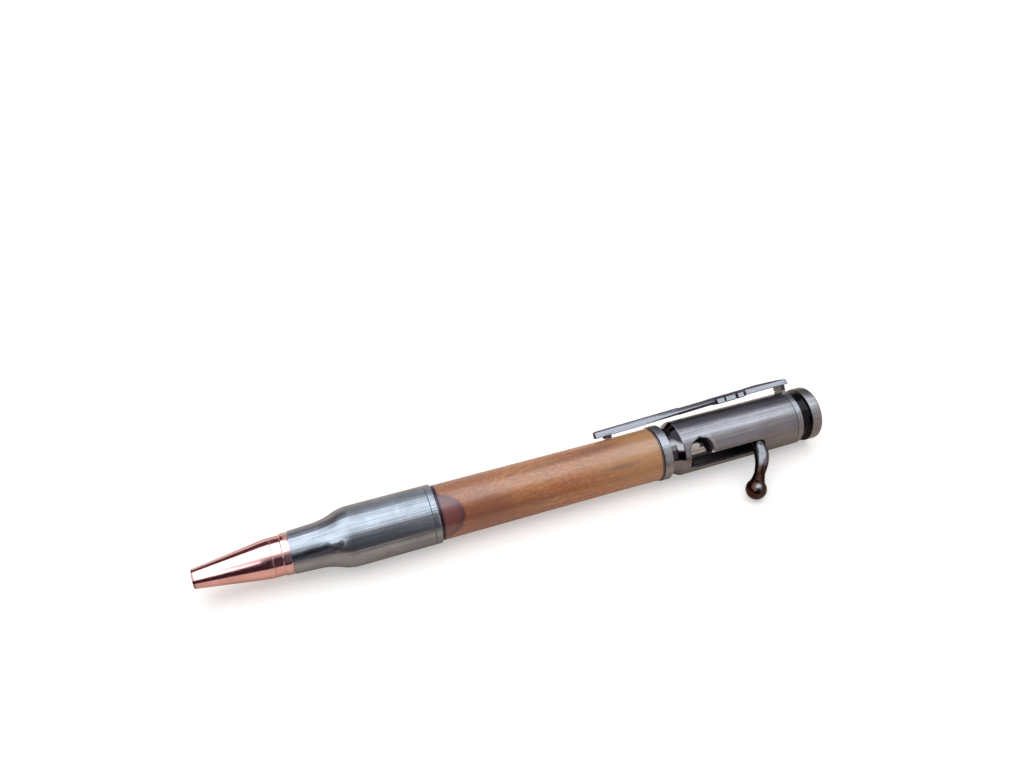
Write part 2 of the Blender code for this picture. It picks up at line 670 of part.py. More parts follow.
def handle_arm(parent):
    """Bent rod: straight out of the bolt, one smooth bend, then down and forward into the knob."""
    root = around(SLOT_ANGLE) * (BOLT_RADIUS - HANDLE_ROOT_DEPTH)
    inward = (handle_corner() - knob_place()).normalized()
    end = knob_place() + inward * (KNOB_RADIUS - KNOB_SOCKET_DEPTH + SEAT_GAP)
    points = rounded([(root,), (handle_corner(), HANDLE_BEND), (end,)])
    lengths = [0.0]
    for before, after in zip(points, points[1:]):
        lengths.append(lengths[-1] + (after - before).length)
    thinning = (HANDLE_RADIUS - HANDLE_END_RADIUS) / lengths[-1]
    radii = [HANDLE_RADIUS - thinning * length for length in lengths]
    rod = tube("handle_arm", points, radii, INNER_FACETS // 2)
    return placed("handle_arm", rod, gunmetal("handle_gunmetal"), parent)


def handle_knob(parent):
    """Ball with a blind hole that the arm's end sits in."""
    hole = HANDLE_END_RADIUS + SEAT_GAP
    mouth_degrees = math.degrees(math.asin(hole / KNOB_RADIUS))
    floor = KNOB_RADIUS - KNOB_SOCKET_DEPTH
    corners = [((floor, 0),), ((floor, hole),)]
    corners += arc(0.0, KNOB_RADIUS, mouth_degrees, 180.0, INNER_FACETS // 2)
    mesh = turned("handle_knob", corners, INNER_FACETS)
    knob = placed("handle_knob", mesh, gunmetal("knob_gunmetal"), parent, knob_place())
    inward = handle_corner() - knob_place()
    knob.rotation_euler = inward.to_track_quat("X", "Z").to_euler()
    return knob


def writing_ball(parent):
    centre = REFILL_POINT + BALL_RADIUS
    mesh = turned("writing_ball", arc(centre, BALL_RADIUS, 0.0, 180.0, INNER_FACETS // 4), INNER_FACETS // 2)
    return placed("writing_ball", mesh, steel("ball_carbide"), parent)


def refill_tip(parent):
    """Narrow metal point: a cone with the ball's cup, then a straight shank."""
    cup = BALL_RADIUS + BALL_GAP
    lip = REFILL_POINT + BALL_SHOWING
    cup_floor = REFILL_POINT + BALL_RADIUS * 2 + BALL_GAP
    corners = [
        ((cup_floor, 0),),
        ((cup_floor, cup),),
        ((lip, cup),),
        ((lip, cup + TIP_LIP),),
        ((lip + TIP_CONE_LENGTH, TIP_RADIUS),),
        ((REFILL_POINT + TIP_LENGTH, TIP_RADIUS),),
        ((REFILL_POINT + TIP_LENGTH, 0),),
    ]
    return placed("refill_tip", turned("refill_tip", corners, INNER_FACETS), brass("tip_metal"), parent)


def refill_nose(parent):
    """Stepped nose: the spring rides on its neck and pushes against its shoulder."""
    shoulder_rear = NOSE_SHOULDER + NOSE_CONE_LENGTH
    insert = REFILL_INNER_RADIUS - SEAT_GAP
    corners = [
        ((NOSE_FRONT, 0),),
        ((NOSE_FRONT, NOSE_RADIUS),),
        ((NOSE_SHOULDER, NOSE_RADIUS),),
        ((shoulder_rear, REFILL_RADIUS),),
        ((shoulder_rear, insert),),
        ((shoulder_rear + REFILL_INSERT, insert),),
        ((shoulder_rear + REFILL_INSERT, 0),),
    ]
    return placed("refill_nose", turned("refill_nose", corners, INNER_FACETS), steel("nose_steel"), parent)


def refill_body(parent):
    """Ink tube, open at both ends where the nose and the plug go in."""
    corners = [
        ((REFILL_BODY_FRONT, REFILL_RADIUS),),
        ((REFILL_BODY_REAR, REFILL_RADIUS),),
        ((REFILL_BODY_REAR, REFILL_INNER_RADIUS),),
        ((REFILL_BODY_FRONT, REFILL_INNER_RADIUS),),
    ]
    return placed("refill_body", turned("refill_body", corners, INNER_FACETS), steel("refill_steel"), parent)


def refill_end_plug(parent):
    """Plastic plug that closes the ink tube; the bolt pushes on its end."""
    insert = REFILL_INNER_RADIUS - SEAT_GAP
    step = (REFILL_PLUG_FRONT + REFILL_REAR) / 2
    corners = [
        ((REFILL_PLUG_FRONT - REFILL_INSERT, 0),),
        ((REFILL_PLUG_FRONT - REFILL_INSERT, insert),),
        ((REFILL_PLUG_FRONT, insert),),
        ((REFILL_PLUG_FRONT, REFILL_RADIUS),),
        ((step, REFILL_RADIUS),),
        ((step + REFILL_PLUG_STEP, REFILL_RADIUS - REFILL_PLUG_STEP),),
        ((REFILL_REAR, REFILL_RADIUS - REFILL_PLUG_STEP),),
        ((REFILL_REAR, 0),),
    ]
    mesh = turned("refill_end_plug", corners, INNER_FACETS)
    return placed("refill_end_plug", mesh, plastic("plug_plastic"), parent)


def refill_spring(parent):
    """Coil from the nib's inner step to the refill's shoulder."""
    front = NIB_SEAT_DEPTH + SEAT_GAP + SPRING_WIRE_RADIUS
    length = NOSE_SHOULDER - SEAT_GAP - SPRING_WIRE_RADIUS - front
    count = SPRING_TURNS * SPRING_POINTS_PER_TURN
    points = []
    for index in range(count + 1):
        angle = math.tau * index / SPRING_POINTS_PER_TURN
        points.append(Vector((front + length * index / count,
                              SPRING_RADIUS * math.cos(angle), SPRING_RADIUS * math.sin(angle))))
    least = min((points[index + step] - points[index]).length
                for index in range(count + 1 - SPRING_POINTS_PER_TURN)
                for step in (SPRING_POINTS_PER_TURN - 1, SPRING_POINTS_PER_TURN)
                if index + step <= count)
    print("spring's least gap to itself, mm:", round((least - 2 * SPRING_WIRE_RADIUS) / MM, 2))
    wire = tube("refill_spring", points, [SPRING_WIRE_RADIUS] * len(points), 6)
    return placed("refill_spring", wire, steel("spring_steel"), parent)


def clip_station(share):
    return CLIP_FRONT + CLIP_LENGTH * share


def clip_profile(station, values):
    """Value along the clip, straight between the stations that CLIP_PROFILE_SHARES name."""
    share = (station - CLIP_FRONT) / CLIP_LENGTH
    knots = list(zip(CLIP_PROFILE_SHARES, values))
    for (start, low), (end, high) in zip(knots, knots[1:]):
        if share <= end:
            return low + (high - low) * max(share - start, 0) / (end - start)
    return values[-1]


def clip_low(station):
    """Height of the clip's underside over the axis."""
    return HOUSING_RADIUS + clip_profile(station, CLIP_GAPS)


def clip_high(station):
    """Height of the clip's outer face over the axis."""
    return clip_low(station) + clip_profile(station, CLIP_THICKNESSES)


def clip_outline():
    """Corners of the rifle's outline: back along the scope's side, forward along the trigger's side."""
    scope_side = [
        (0.0, BARREL_HALF_WIDTH),
        (SCOPE_FRONT_SHARE, BARREL_HALF_WIDTH),
        (SCOPE_FRONT_SHARE, SCOPE_REACH),
        (SCOPE_BELL_SHARE, SCOPE_REACH),
        (SCOPE_BELL_SHARE, SCOPE_TUBE_REACH),
        (SCOPE_WAIST_SHARE, SCOPE_TUBE_REACH),
        (SCOPE_WAIST_SHARE, SCOPE_REACH),
        (RECEIVER_SHARE, SCOPE_REACH),
        (RECEIVER_SHARE, RECEIVER_HALF_WIDTH),
        (GRIP_START_SHARE, RECEIVER_HALF_WIDTH),
        (COMB_SHARE, COMB_REACH, CLIP_LENGTH / 8),
        (HEEL_SHARE, BUTT_HALF_WIDTH, CLIP_LENGTH / 8),
        (1.0, BUTT_HALF_WIDTH, CLIP_POST_THICKNESS / 2),
    ]
    trigger_side = [
        (1.0, -BUTT_HALF_WIDTH, CLIP_POST_THICKNESS / 2),
        (HEEL_SHARE, -STOCK_REACH, CLIP_LENGTH / 8),
        (STOCK_SHARE, -RECEIVER_HALF_WIDTH - (STOCK_REACH - RECEIVER_HALF_WIDTH) / 4),
        (STOCK_SHARE, -TRIGGER_RECESS),
    ]
    for start, end in ((GRIP_START_SHARE, GRIP_END_SHARE), (GUARD_START_SHARE, GUARD_END_SHARE),
                       (MAGAZINE_START_SHARE, MAGAZINE_END_SHARE)):
        trigger_side += [(end, -TRIGGER_RECESS), (end, -TRIGGER_REACH),
                         (start, -TRIGGER_REACH), (start, -TRIGGER_RECESS)]
    trigger_side += [
        (RECEIVER_SHARE, -TRIGGER_RECESS),
        (RECEIVER_SHARE, -FOREND_HALF_WIDTH),
        (FOREND_FULL_SHARE, -FOREND_HALF_WIDTH, CLIP_LENGTH / 8),
        (FOREND_START_SHARE, -BARREL_HALF_WIDTH, CLIP_LENGTH / 8),
        (0.0, -BARREL_HALF_WIDTH),
    ]
    corners = []
    for share, width, *fillet in scope_side + trigger_side:
        corners.append(((clip_station(share), width), *fillet))
    return [(point.x, point.y) for point in rounded(corners)]


def add_to(item, mesh):
    """Fuses another mesh to an object through a hidden helper."""
    helper = bpy.data.objects.new(mesh.name, mesh)
    bpy.context.scene.collection.objects.link(helper)
    helper.parent = item.parent
    helper.location = item.location
    helper.rotation_euler = item.rotation_euler
    helper.hide_render = True
    helper.display_type = "WIRE"
    joined = item.modifiers.new(mesh.name, "BOOLEAN")
    joined.operation = "UNION"
    joined.solver = "EXACT"
    joined.object = helper


def block(name, front, rear, half_width, low, high):
    outline = [(front, -half_width), (rear, -half_width), (rear, half_width), (front, half_width)]
    return prism(name, outline, low, high)


def clip(parent):
    """Rifle-shaped blade, the post that carries it and the foot that grips the cloth, in one piece."""
    knots = [clip_station(share) for share in CLIP_PROFILE_SHARES[1:-1]]
    mesh = prism("clip", clip_outline(), clip_low, clip_high, knots)
    blade = placed("clip", mesh, gunmetal("clip_gunmetal"), parent)
    shift = Vector((-CLIP_FLEX_STATION, 0, -CLIP_FLEX_HEIGHT))
    turn_to(blade, CLIP_ANGLE)
    blade.location = blade.rotation_euler.to_matrix() @ shift
    bevel = blade.modifiers.new("edges", "BEVEL")
    bevel.width = CLIP_EDGE
    bevel.segments = 1
    bevel.limit_method = "ANGLE"
    bevel.angle_limit = math.radians(60.0)
    post_front = CLIP_RING_REAR - CLIP_POST_THICKNESS
    add_to(blade, block("post_solid", post_front, CLIP_RING_REAR, CLIP_POST_HALF_WIDTH,
                        lambda x: CLIP_TAB_TOP + SEAT_GAP,
                        lambda x: clip_low(x) + CLIP_POST_THICKNESS / 2))
    foot_front = CLIP_FRONT + CLIP_FOOT_FROM_MUZZLE - CLIP_FOOT_LENGTH / 2
    add_to(blade, block("foot_solid", foot_front, foot_front + CLIP_FOOT_LENGTH, CLIP_FOOT_HALF_WIDTH,
                        lambda x: WOOD_RADIUS + CLIP_FOOT_GAP,
                        lambda x: clip_low(x) + CLIP_POST_THICKNESS / 2))
    return blade


def clip_ring(parent):
    """Band clamped between housing and cap, with the short tab that the clip springs from."""
    corners = [
        ((CLIP_RING_FRONT, CLIP_RING_RADIUS), HOUSING_EDGE),
        ((CLIP_RING_REAR, CLIP_RING_RADIUS), HOUSING_EDGE),
        ((CLIP_RING_REAR, CAP_STUD_BORE),),
        ((CLIP_RING_FRONT, CAP_STUD_BORE),),
    ]
    ring = placed("clip_ring", turned("clip_ring", corners, OUTER_FACETS), gunmetal("clip_ring_gunmetal"), parent)
    turn_to(ring, CLIP_ANGLE)
    post_front = CLIP_RING_REAR - CLIP_POST_THICKNESS
    add_to(ring, block("tab_solid", post_front, CLIP_RING_REAR, CLIP_POST_HALF_WIDTH,
                       lambda x: CLIP_RING_RADIUS / 2, lambda x: CLIP_TAB_TOP))
    return ring


def end_cap(parent):
    """Polished neck and broad rim, flat at the very end, with a blind hole for its screw."""
    hole_floor = CAP_FRONT + CAP_STUD_INSERT
    corners = [
        ((hole_floor, 0),),
        ((hole_floor, CAP_STUD_BORE),),
        ((CAP_FRONT, CAP_STUD_BORE),),
        ((CAP_FRONT, CAP_NECK_RADIUS),),
        ((CAP_RIM_FRONT, CAP_NECK_RADIUS), CAP_NECK_FILLET),
        ((CAP_RIM_FRONT, CAP_RIM_RADIUS), CAP_RIM_FRONT_EDGE),
        ((CAP_REAR, CAP_RIM_RADIUS), CAP_RIM_REAR_EDGE),
        ((CAP_REAR, 0),),
    ]
    return placed("end_cap", turned("end_cap", corners, OUTER_FACETS), pewter("cap_pewter"), parent)


def cap_screw(parent):
    """Threaded rod that holds cap and clip ring to the housing."""
    front = CAP_FRONT + CAP_STUD_INSERT - SEAT_GAP - CAP_STUD_LENGTH
    corners = [((front, 0),), ((front, CAP_STUD_RADIUS),),
               ((front + CAP_STUD_LENGTH, CAP_STUD_RADIUS),), ((front + CAP_STUD_LENGTH, 0),)]
    return placed("cap_screw", turned("cap_screw", corners, INNER_FACETS), steel("screw_steel"), parent)


def stand_on_origin(root):
    """Moves the whole pen so that its box is centred over the origin and rests on z = 0."""
    bpy.context.view_layer.update()
    graph = bpy.context.evaluated_depsgraph_get()
    corners = []
    for item in bpy.context.scene.objects:
        if item.type == "EMPTY" or item.hide_render:
            continue
        solid = item.evaluated_get(graph)
        mesh = solid.to_mesh()
        corners += [item.matrix_world @ vertex.co for vertex in mesh.vertices]
        solid.to_mesh_clear()
    low = Vector(min(corner[axis] for corner in corners) for axis in range(3))
    high = Vector(max(corner[axis] for corner in corners) for axis in range(3))
    root.location -= Vector(((low.x + high.x) / 2, (low.y + high.y) / 2, low.z))
    bpy.context.view_layer.update()


def build():
    clear_scene()
    pen = empty("pen", (0, 0, 0))
    tip = empty("tip_axis", (0, 0, 0), pen)
    bolt = empty("bolt_axis", (HANDLE_STATION, 0, 0), pen)
    refill = empty("refill_axis", (0, 0, 0), pen)
    flex = Vector((CLIP_FLEX_STATION, 0, 0)) + around(CLIP_ANGLE) * CLIP_FLEX_HEIGHT
    spring_clip = empty("clip_axis", flex, pen)
    for make in (nib_tip, front_casing):
        make(tip)
    for make in (front_coupler, wood_barrel, brass_tube, ring_coupler, bolt_housing, clip_ring, end_cap,
                 cap_screw, refill_spring):
        make(pen)
    for make in (bolt_body, handle_arm, handle_knob):
        make(bolt)
    for make in (writing_ball, refill_tip, refill_nose, refill_body, refill_end_plug):
        make(refill)
    clip(spring_clip)
    stand_on_origin(pen)
    for axis in (pen, tip, bolt, refill, spring_clip):
        print(axis.name, "at, m:", [round(value, 6) for value in axis.matrix_world.translation])


build()
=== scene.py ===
"""Looks of a bolt action pen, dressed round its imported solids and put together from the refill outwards."""
import math

import bmesh
import bpy
from mathutils import Matrix, Vector


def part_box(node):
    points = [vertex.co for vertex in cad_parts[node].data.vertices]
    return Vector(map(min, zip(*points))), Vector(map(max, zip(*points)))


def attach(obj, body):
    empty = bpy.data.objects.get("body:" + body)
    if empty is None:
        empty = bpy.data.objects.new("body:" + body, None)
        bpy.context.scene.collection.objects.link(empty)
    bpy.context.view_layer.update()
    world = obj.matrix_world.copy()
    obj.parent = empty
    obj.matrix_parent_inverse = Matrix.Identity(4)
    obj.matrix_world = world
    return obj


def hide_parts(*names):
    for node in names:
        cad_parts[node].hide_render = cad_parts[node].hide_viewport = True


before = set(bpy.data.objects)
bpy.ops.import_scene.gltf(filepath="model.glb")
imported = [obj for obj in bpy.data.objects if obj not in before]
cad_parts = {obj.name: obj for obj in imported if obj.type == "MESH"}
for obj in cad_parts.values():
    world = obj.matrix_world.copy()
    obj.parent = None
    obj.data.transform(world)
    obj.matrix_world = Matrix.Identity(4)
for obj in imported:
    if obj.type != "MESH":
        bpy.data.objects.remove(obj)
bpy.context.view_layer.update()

# Refill: a metal ink tube with a turned brass point that holds a hard ball, and a moulded plug at its rear end.
# Its pieces are turned on a lathe, so each is one outline spun round the axis.
# Stations count from the nib's front along the pen, radii from its axis, both in millimetres.
MM = 0.001
LATHE_SIDES = 144
CRISP_DEGREES = 35
nib_low, nib_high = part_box("nib_tip")
AXIS = Vector((nib_low.x, (nib_low.y + nib_high.y) / 2, (nib_low.z + nib_high.z) / 2))


def on_pen(station, side, height):
    """A place in millimetres from the nib's front on the pen's axis."""
    return AXIS + Vector((station, side, height)) * MM


def new_piece(name, add, **sizes):
    """Adds one of Blender's own shapes as a new piece, with its place and size applied."""
    bpy.ops.object.select_all(action="DESELECT")
    add(**sizes)
    bpy.ops.object.transform_apply()
    bpy.context.object.name = name
    return bpy.context.object


def edit_all():
    bpy.ops.object.mode_set(mode="EDIT")
    bpy.ops.mesh.select_all(action="SELECT")


def lathe(name, outline, sides=LATHE_SIDES):
    """Draws an outline of (station, radius, rounding), vertex by vertex, and spins it round the axis."""
    corners = [on_pen(station, 0, radius) for station, radius, *rounding in outline]
    piece = new_piece(name, bpy.ops.mesh.primitive_plane_add, size=MM)
    piece.data.name = name
    edit_all()
    bpy.ops.mesh.merge(type="CENTER")
    bpy.ops.transform.translate(value=corners[0])
    for before, after in zip(corners, corners[1:]):
        bpy.ops.mesh.extrude_vertices_move(TRANSFORM_OT_translate={"value": after - before})
    for corner, (station, radius, *rounding) in zip(corners, outline):
        if rounding:
            shape = bmesh.from_edit_mesh(piece.data)
            for vertex in shape.verts:
                vertex.select_set((vertex.co - corner).length < MM / 1000)
            shape.select_flush_mode()
            bmesh.update_edit_mesh(piece.data)
            bpy.ops.mesh.bevel(offset=rounding[0] * MM, segments=6, affect="VERTICES")
    bpy.ops.mesh.select_all(action="SELECT")
    bpy.ops.mesh.spin(steps=sides, angle=math.tau, center=AXIS, axis=(1, 0, 0))
    tidy_faces()
    bpy.ops.object.shade_smooth_by_angle(angle=math.radians(CRISP_DEGREES))
    return piece


def tidy_faces():
    """Closes the mesh's seam and poles, turns its faces outwards and leaves edit mode."""
    bpy.ops.mesh.select_all(action="SELECT")
    bpy.ops.mesh.remove_doubles(threshold=MM / 5000)
    bpy.ops.mesh.normals_make_consistent(inside=False)
    bpy.ops.object.mode_set(mode="OBJECT")


def closed(outline):
    """Brings an outline back to its first corner."""
    return outline + [outline[0][:2]]


def stands_for(piece, node, body, finish):
    """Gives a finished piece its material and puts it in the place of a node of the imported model."""
    piece.data.materials.clear()
    piece.data.materials.append(finish)
    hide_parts(node)
    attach(piece, body)


def add_node(tree, kind, inputs=None, **fields):
    """Adds a shader node; an input is given a number, a colour or the socket that feeds it."""
    made = tree.nodes.new(kind)
    for field, value in fields.items():
        setattr(made, field, value)
    for key, value in (inputs or {}).items():
        if isinstance(value, bpy.types.NodeSocket):
            tree.links.new(value, made.inputs[key])
        else:
            made.inputs[key].default_value = value
    return made


def maths(tree, operation, first, second=0.0, third=0.0):
    made = add_node(tree, "ShaderNodeMath", {0: first, 1: second, 2: third}, operation=operation)
    return made.outputs[0]


def times(tree, first, second):
    return maths(tree, "MULTIPLY", first, second)


def times_plus(tree, first, second, added):
    return maths(tree, "MULTIPLY_ADD", first, second, added)


def minus(tree, first, second):
    return maths(tree, "SUBTRACT", first, second)


def larger(tree, first, second):
    return maths(tree, "MAXIMUM", first, second)


def vector_maths(tree, operation, first, second=(0.0, 0.0, 0.0)):
    made = add_node(tree, "ShaderNodeVectorMath", {0: first, 1: second}, operation=operation)
    return made.outputs["Value" if operation in ("LENGTH", "DISTANCE", "DOT_PRODUCT") else "Vector"]


def split(tree, vector):
    return add_node(tree, "ShaderNodeSeparateXYZ", {0: vector}).outputs


def place_on(tree):
    return tree.nodes.new("ShaderNodeTexCoord").outputs["Object"]


def from_axis(tree):
    """A place on the piece, counted from the nib's front on the pen's axis."""
    return vector_maths(tree, "SUBTRACT", place_on(tree), AXIS)


def noise_at(tree, place, scale, detail=2.0, roughness=0.5, distortion=0.0):
    return add_node(tree, "ShaderNodeTexNoise", {"Vector": place, "Scale": scale, "Detail": detail,
                                                 "Roughness": roughness, "Distortion": distortion}).outputs[0]


def ranged(tree, value, low, high, to_low=0.0, to_high=1.0):
    """Maps a value from one range to another and keeps it inside."""
    made = add_node(tree, "ShaderNodeMapRange", {"Value": value, "From Min": low, "From Max": high,
                                                 "To Min": to_low, "To Max": to_high})
    return made.outputs[0]


def within(tree, value, start, full, most=1.0):
    """Grows from nothing at one distance in millimetres to its most at another, upwards or downwards."""
    return ranged(tree, value, start * MM, full * MM, 0.0, most)


def mixed(tree, share, low, high):
    """Mixes two colours, each given as a socket or as red, green and blue."""
    made = tree.nodes.new("ShaderNodeMix")
    made.data_type = "RGBA"
    tree.links.new(share, made.inputs[0])
    for socket, value in ((made.inputs[6], low), (made.inputs[7], high)):
        if isinstance(value, bpy.types.NodeSocket):
            tree.links.new(value, socket)
        else:
            socket.default_value = (*value, 1.0)
    return made.outputs[2]


def new_group(name, inputs, outputs):
    """Starts a shader node group with named number inputs and named outputs."""
    group = bpy.data.node_groups.new(name, "ShaderNodeTree")
    for label, value in inputs:
        socket = group.interface.new_socket(label, in_out="INPUT", socket_type="NodeSocketFloat")
        socket.default_value = value
    for label in outputs:
        group.interface.new_socket(label, in_out="OUTPUT", socket_type="NodeSocketFloat")
    return group, group.nodes.new("NodeGroupInput").outputs, group.nodes.new("NodeGroupOutput").inputs


def put_out(group, sockets, values):
    for socket, value in zip(sockets, values):
        group.links.new(value, socket)


BODY_RADIUS = 6.3  # of the housing, where a turned piece has the given number of lines per metre


def drawn_lines_group():
    """Fine straight lines along the pen, as brushing leaves them; on turned pieces each keeps its angle."""
    inputs = [("Lines per m", 3600.0), ("Marks per m", 45.0), ("Turned", 1.0)]
    group, given, results = new_group("drawn lines", inputs, ["Fine", "Broad", "Height"])
    away = from_axis(group)
    radius = vector_maths(group, "LENGTH", vector_maths(group, "MULTIPLY", away, (0.0, 1.0, 1.0)))
    to_turned = minus(group, maths(group, "DIVIDE", BODY_RADIUS * MM, larger(group, radius, MM)), 1.0)
    spread = times_plus(group, to_turned, given[2], 1.0)
    layers = []
    for share in (1.0, 0.38):
        across = times(group, times(group, given[0], share), spread)
        along = times(group, given[1], share)
        scale = add_node(group, "ShaderNodeCombineXYZ", {0: along, 1: across, 2: across}).outputs[0]
        lumps = vector_maths(group, "MULTIPLY", away, scale)
        layers.append(ranged(group, noise_at(group, lumps, 1.0, 4.0, 0.7), 0.3, 0.7))
    fine, broad = layers
    put_out(group, results, (fine, broad, times_plus(group, broad, 1.3, fine)))
    return group


def turning_marks_group():
    """Fine rings round the axis, as a lathe tool leaves them on sides and end faces."""
    group, given, results = new_group("turning marks", [("Rings per m", 9000.0)], ["Rings"])
    along, side, height = split(group, from_axis(group))
    radius = maths(group, "SQRT", times_plus(group, side, side, times(group, height, height)))
    path = times(group, maths(group, "ADD", radius, along), given[0])
    noise = add_node(group, "ShaderNodeTexNoise", {"W": path, "Scale": 1.0, "Detail": 3.0, "Roughness": 0.7},
                     noise_dimensions="1D")
    put_out(group, results, (ranged(group, noise.outputs[0], 0.3, 0.7),))
    return group


def handling_group():
    """Traces of use: soft smudges, hairline scratches and specks of dust."""
    group, given, results = new_group("handling", [], ["Smudges", "Scratches", "Specks"])
    place = place_on(group)
    smudge = noise_at(group, place, 220.0, 4.0, 0.55, 0.4)
    turned = add_node(group, "ShaderNodeMapping", {"Vector": place, "Rotation": (0.3, 0.5, 0.4),
                                                   "Scale": (0.12, 1.0, 1.0)}).outputs[0]
    off_line = maths(group, "ABSOLUTE", minus(group, noise_at(group, turned, 500.0, 1.0), 0.5))
    hair = ranged(group, off_line, 0.0, 0.006, 1.0, 0.0)
    grain = add_node(group, "ShaderNodeTexVoronoi", {"Vector": place, "Scale": 900.0}).outputs
    chosen = maths(group, "GREATER_THAN", split(group, grain["Color"])[0], 0.93)
    dot = ranged(group, grain["Distance"], 0.05, 0.16, 1.0, 0.0)
    put_out(group, results, (ranged(group, smudge, 0.38, 0.66),
                             times(group, hair, ranged(group, smudge, 0.5, 0.6)), times(group, chosen, dot)))
    return group


DRAWN_LINES = drawn_lines_group()
TURNING_MARKS = turning_marks_group()
HANDLING = handling_group()


def set_values(sockets, values):
    for label, value in values.items():
        sockets[label.replace("_", " ")].default_value = value


def group_node(tree, group, **values):
    made = add_node(tree, "ShaderNodeGroup", node_tree=group)
    set_values(made.inputs, values)
    return made.outputs


def new_finish(name, metallic=0.0, roughness=0.5, **values):
    finish = bpy.data.materials.new(name)
    finish.use_nodes = True
    shader = finish.node_tree.nodes["Principled BSDF"].inputs
    set_values(shader, {"Metallic": metallic, "Roughness": roughness, **values})
    return finish, finish.node_tree, shader


def lay_on(tree, shader, tone, roughness):
    tree.links.new(tone, shader["Base Color"])
    tree.links.new(roughness, shader["Roughness"])


def raise_surface(tree, shader, height, depth, before=None):
    """Feeds a height, in a depth of millimetres, to the shader's normal."""
    bump = add_node(tree, "ShaderNodeBump", {"Height": height, "Strength": 1.0, "Distance": depth * MM})
    if before is not None:
        tree.links.new(before, bump.inputs["Normal"])
    tree.links.new(bump.outputs[0], shader["Normal"])
    return bump.outputs[0]


def brushed_metal(name, dark, light, smooth, rough, line_depth):
    """Plated metal brushed along the pen, with a worn tone between the dark and the light one."""
    finish, tree, shader = new_finish(name, 0.9, rough)
    brush, use = group_node(tree, DRAWN_LINES), group_node(tree, HANDLING)
    tone = times_plus(tree, brush["Fine"], 0.45, times(tree, brush["Broad"], 0.35))
    tone = times_plus(tree, use["Smudges"], 0.25, tone)
    gloss = times_plus(tree, brush["Fine"], 0.6, times(tree, use["Smudges"], 0.4))
    lay_on(tree, shader, mixed(tree, tone, light, dark), ranged(tree, gloss, 0.0, 1.0, smooth, rough))
    raise_surface(tree, shader, times_plus(tree, use["Specks"], 0.6, brush["Height"]), line_depth)
    return finish


def polished_metal(name, dark, light, smooth, rough, wave_depth=0.004, shade=None, metallic=1.0):
    """Polished plate: nearly a mirror, with faint waves, hairlines and specks of dust. Shade is a painted shade:
    it gives a dark colour, X or Z, and where it starts and is full, in millimetres from the nib's front or up from
    the axis."""
    finish, tree, shader = new_finish(name, metallic, smooth)
    use = group_node(tree, HANDLING)
    tone = mixed(tree, use["Smudges"], light, dark)
    if shade is not None:
        shadow, part, start, full = shade
        tone = mixed(tree, within(tree, split(tree, from_axis(tree))[part], start, full, 0.9), tone, shadow)
    gloss = larger(tree, times(tree, use["Smudges"], 0.5), larger(tree, use["Scratches"], use["Specks"]))
    lay_on(tree, shader, tone, ranged(tree, gloss, 0.0, 1.0, smooth, rough))
    waves = raise_surface(tree, shader, noise_at(tree, place_on(tree), 420.0), wave_depth)
    raise_surface(tree, shader, use["Specks"], 0.01, waves)
    return finish


def turned_metal(name, dark, light, smooth, rough, mark_depth):
    """Bare or thinly plated metal with the fine rings of the lathe."""
    finish, tree, shader = new_finish(name, 1.0, rough)
    rings, smudges = group_node(tree, TURNING_MARKS)["Rings"], group_node(tree, HANDLING)["Smudges"]
    tone = times_plus(tree, rings, 0.6, times(tree, smudges, 0.4))
    lay_on(tree, shader, mixed(tree, tone, light, dark), ranged(tree, rings, 0.0, 1.0, smooth, rough))
    raise_surface(tree, shader, rings, mark_depth)
    return finish


ball = lathe("ball_in_point", [(12.7, 0), (12.7, 0.5, 0.49), (13.7, 0.5, 0.49), (13.7, 0)], 32)
stands_for(ball, "writing_ball", "refill",
           polished_metal("polished carbide", (0.42, 0.42, 0.44), (0.6, 0.6, 0.62), 0.12, 0.3, 0.0005))
point = lathe("turned_point", [
    (13.75, 0), (13.75, 0.55), (13.0, 0.55), (13.0, 0.65, 0.04), (13.5, 0.76), (15.3, 1.175, 0.2),
    (17.0, 1.175), (17.08, 1.11), (17.2, 1.11), (17.28, 1.175), (20.7, 1.175, 0.08), (20.7, 0)], 72)
stands_for(point, "refill_tip", "refill",
           turned_metal("turned brass", (0.48, 0.33, 0.12), (0.78, 0.58, 0.27), 0.16, 0.34, 0.002))
refill_steel = turned_metal("drawn steel", (0.42, 0.42, 0.44), (0.66, 0.66, 0.68), 0.2, 0.36, 0.001)
refill_nose = lathe("refill_front", [
    (20.8, 0), (20.8, 1.6, 0.15), (26.8, 1.6, 0.1), (28.0, 2.95, 0.12), (28.0, 2.6), (31.0, 2.6), (31.0, 0)], 96)
stands_for(refill_nose, "refill_nose", "refill", refill_steel)
ink_tube = lathe("ink_tube", closed([
    (28.1, 2.95, 0.05), (29.4, 2.95), (29.7, 2.82, 0.08), (30.0, 2.95), (103.0, 2.95), (103.2, 2.86, 0.05),
    (103.4, 2.95), (104.7, 2.95, 0.05), (104.7, 2.7), (28.1, 2.7)]), 96)
stands_for(ink_tube, "refill_body", "refill", refill_steel)


def dress(node, finish):
    """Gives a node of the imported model, whose shape is right, a better material."""
    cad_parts[node].material_slots[0].material = finish


def moulded_plastic(name, dark, light):
    """Moulded plastic: a little uneven in tone, with a fine pebbled skin."""
    finish, tree, shader = new_finish(name, 0.0, 0.4)
    smudges = group_node(tree, HANDLING)["Smudges"]
    lay_on(tree, shader, mixed(tree, smudges, light, dark), ranged(tree, smudges, 0.0, 1.0, 0.34, 0.5))
    raise_surface(tree, shader, noise_at(tree, place_on(tree), 6000.0), 0.004)
    return finish


dress("refill_end_plug", moulded_plastic("moulded plug", (0.03, 0.05, 0.15), (0.07, 0.1, 0.26)))

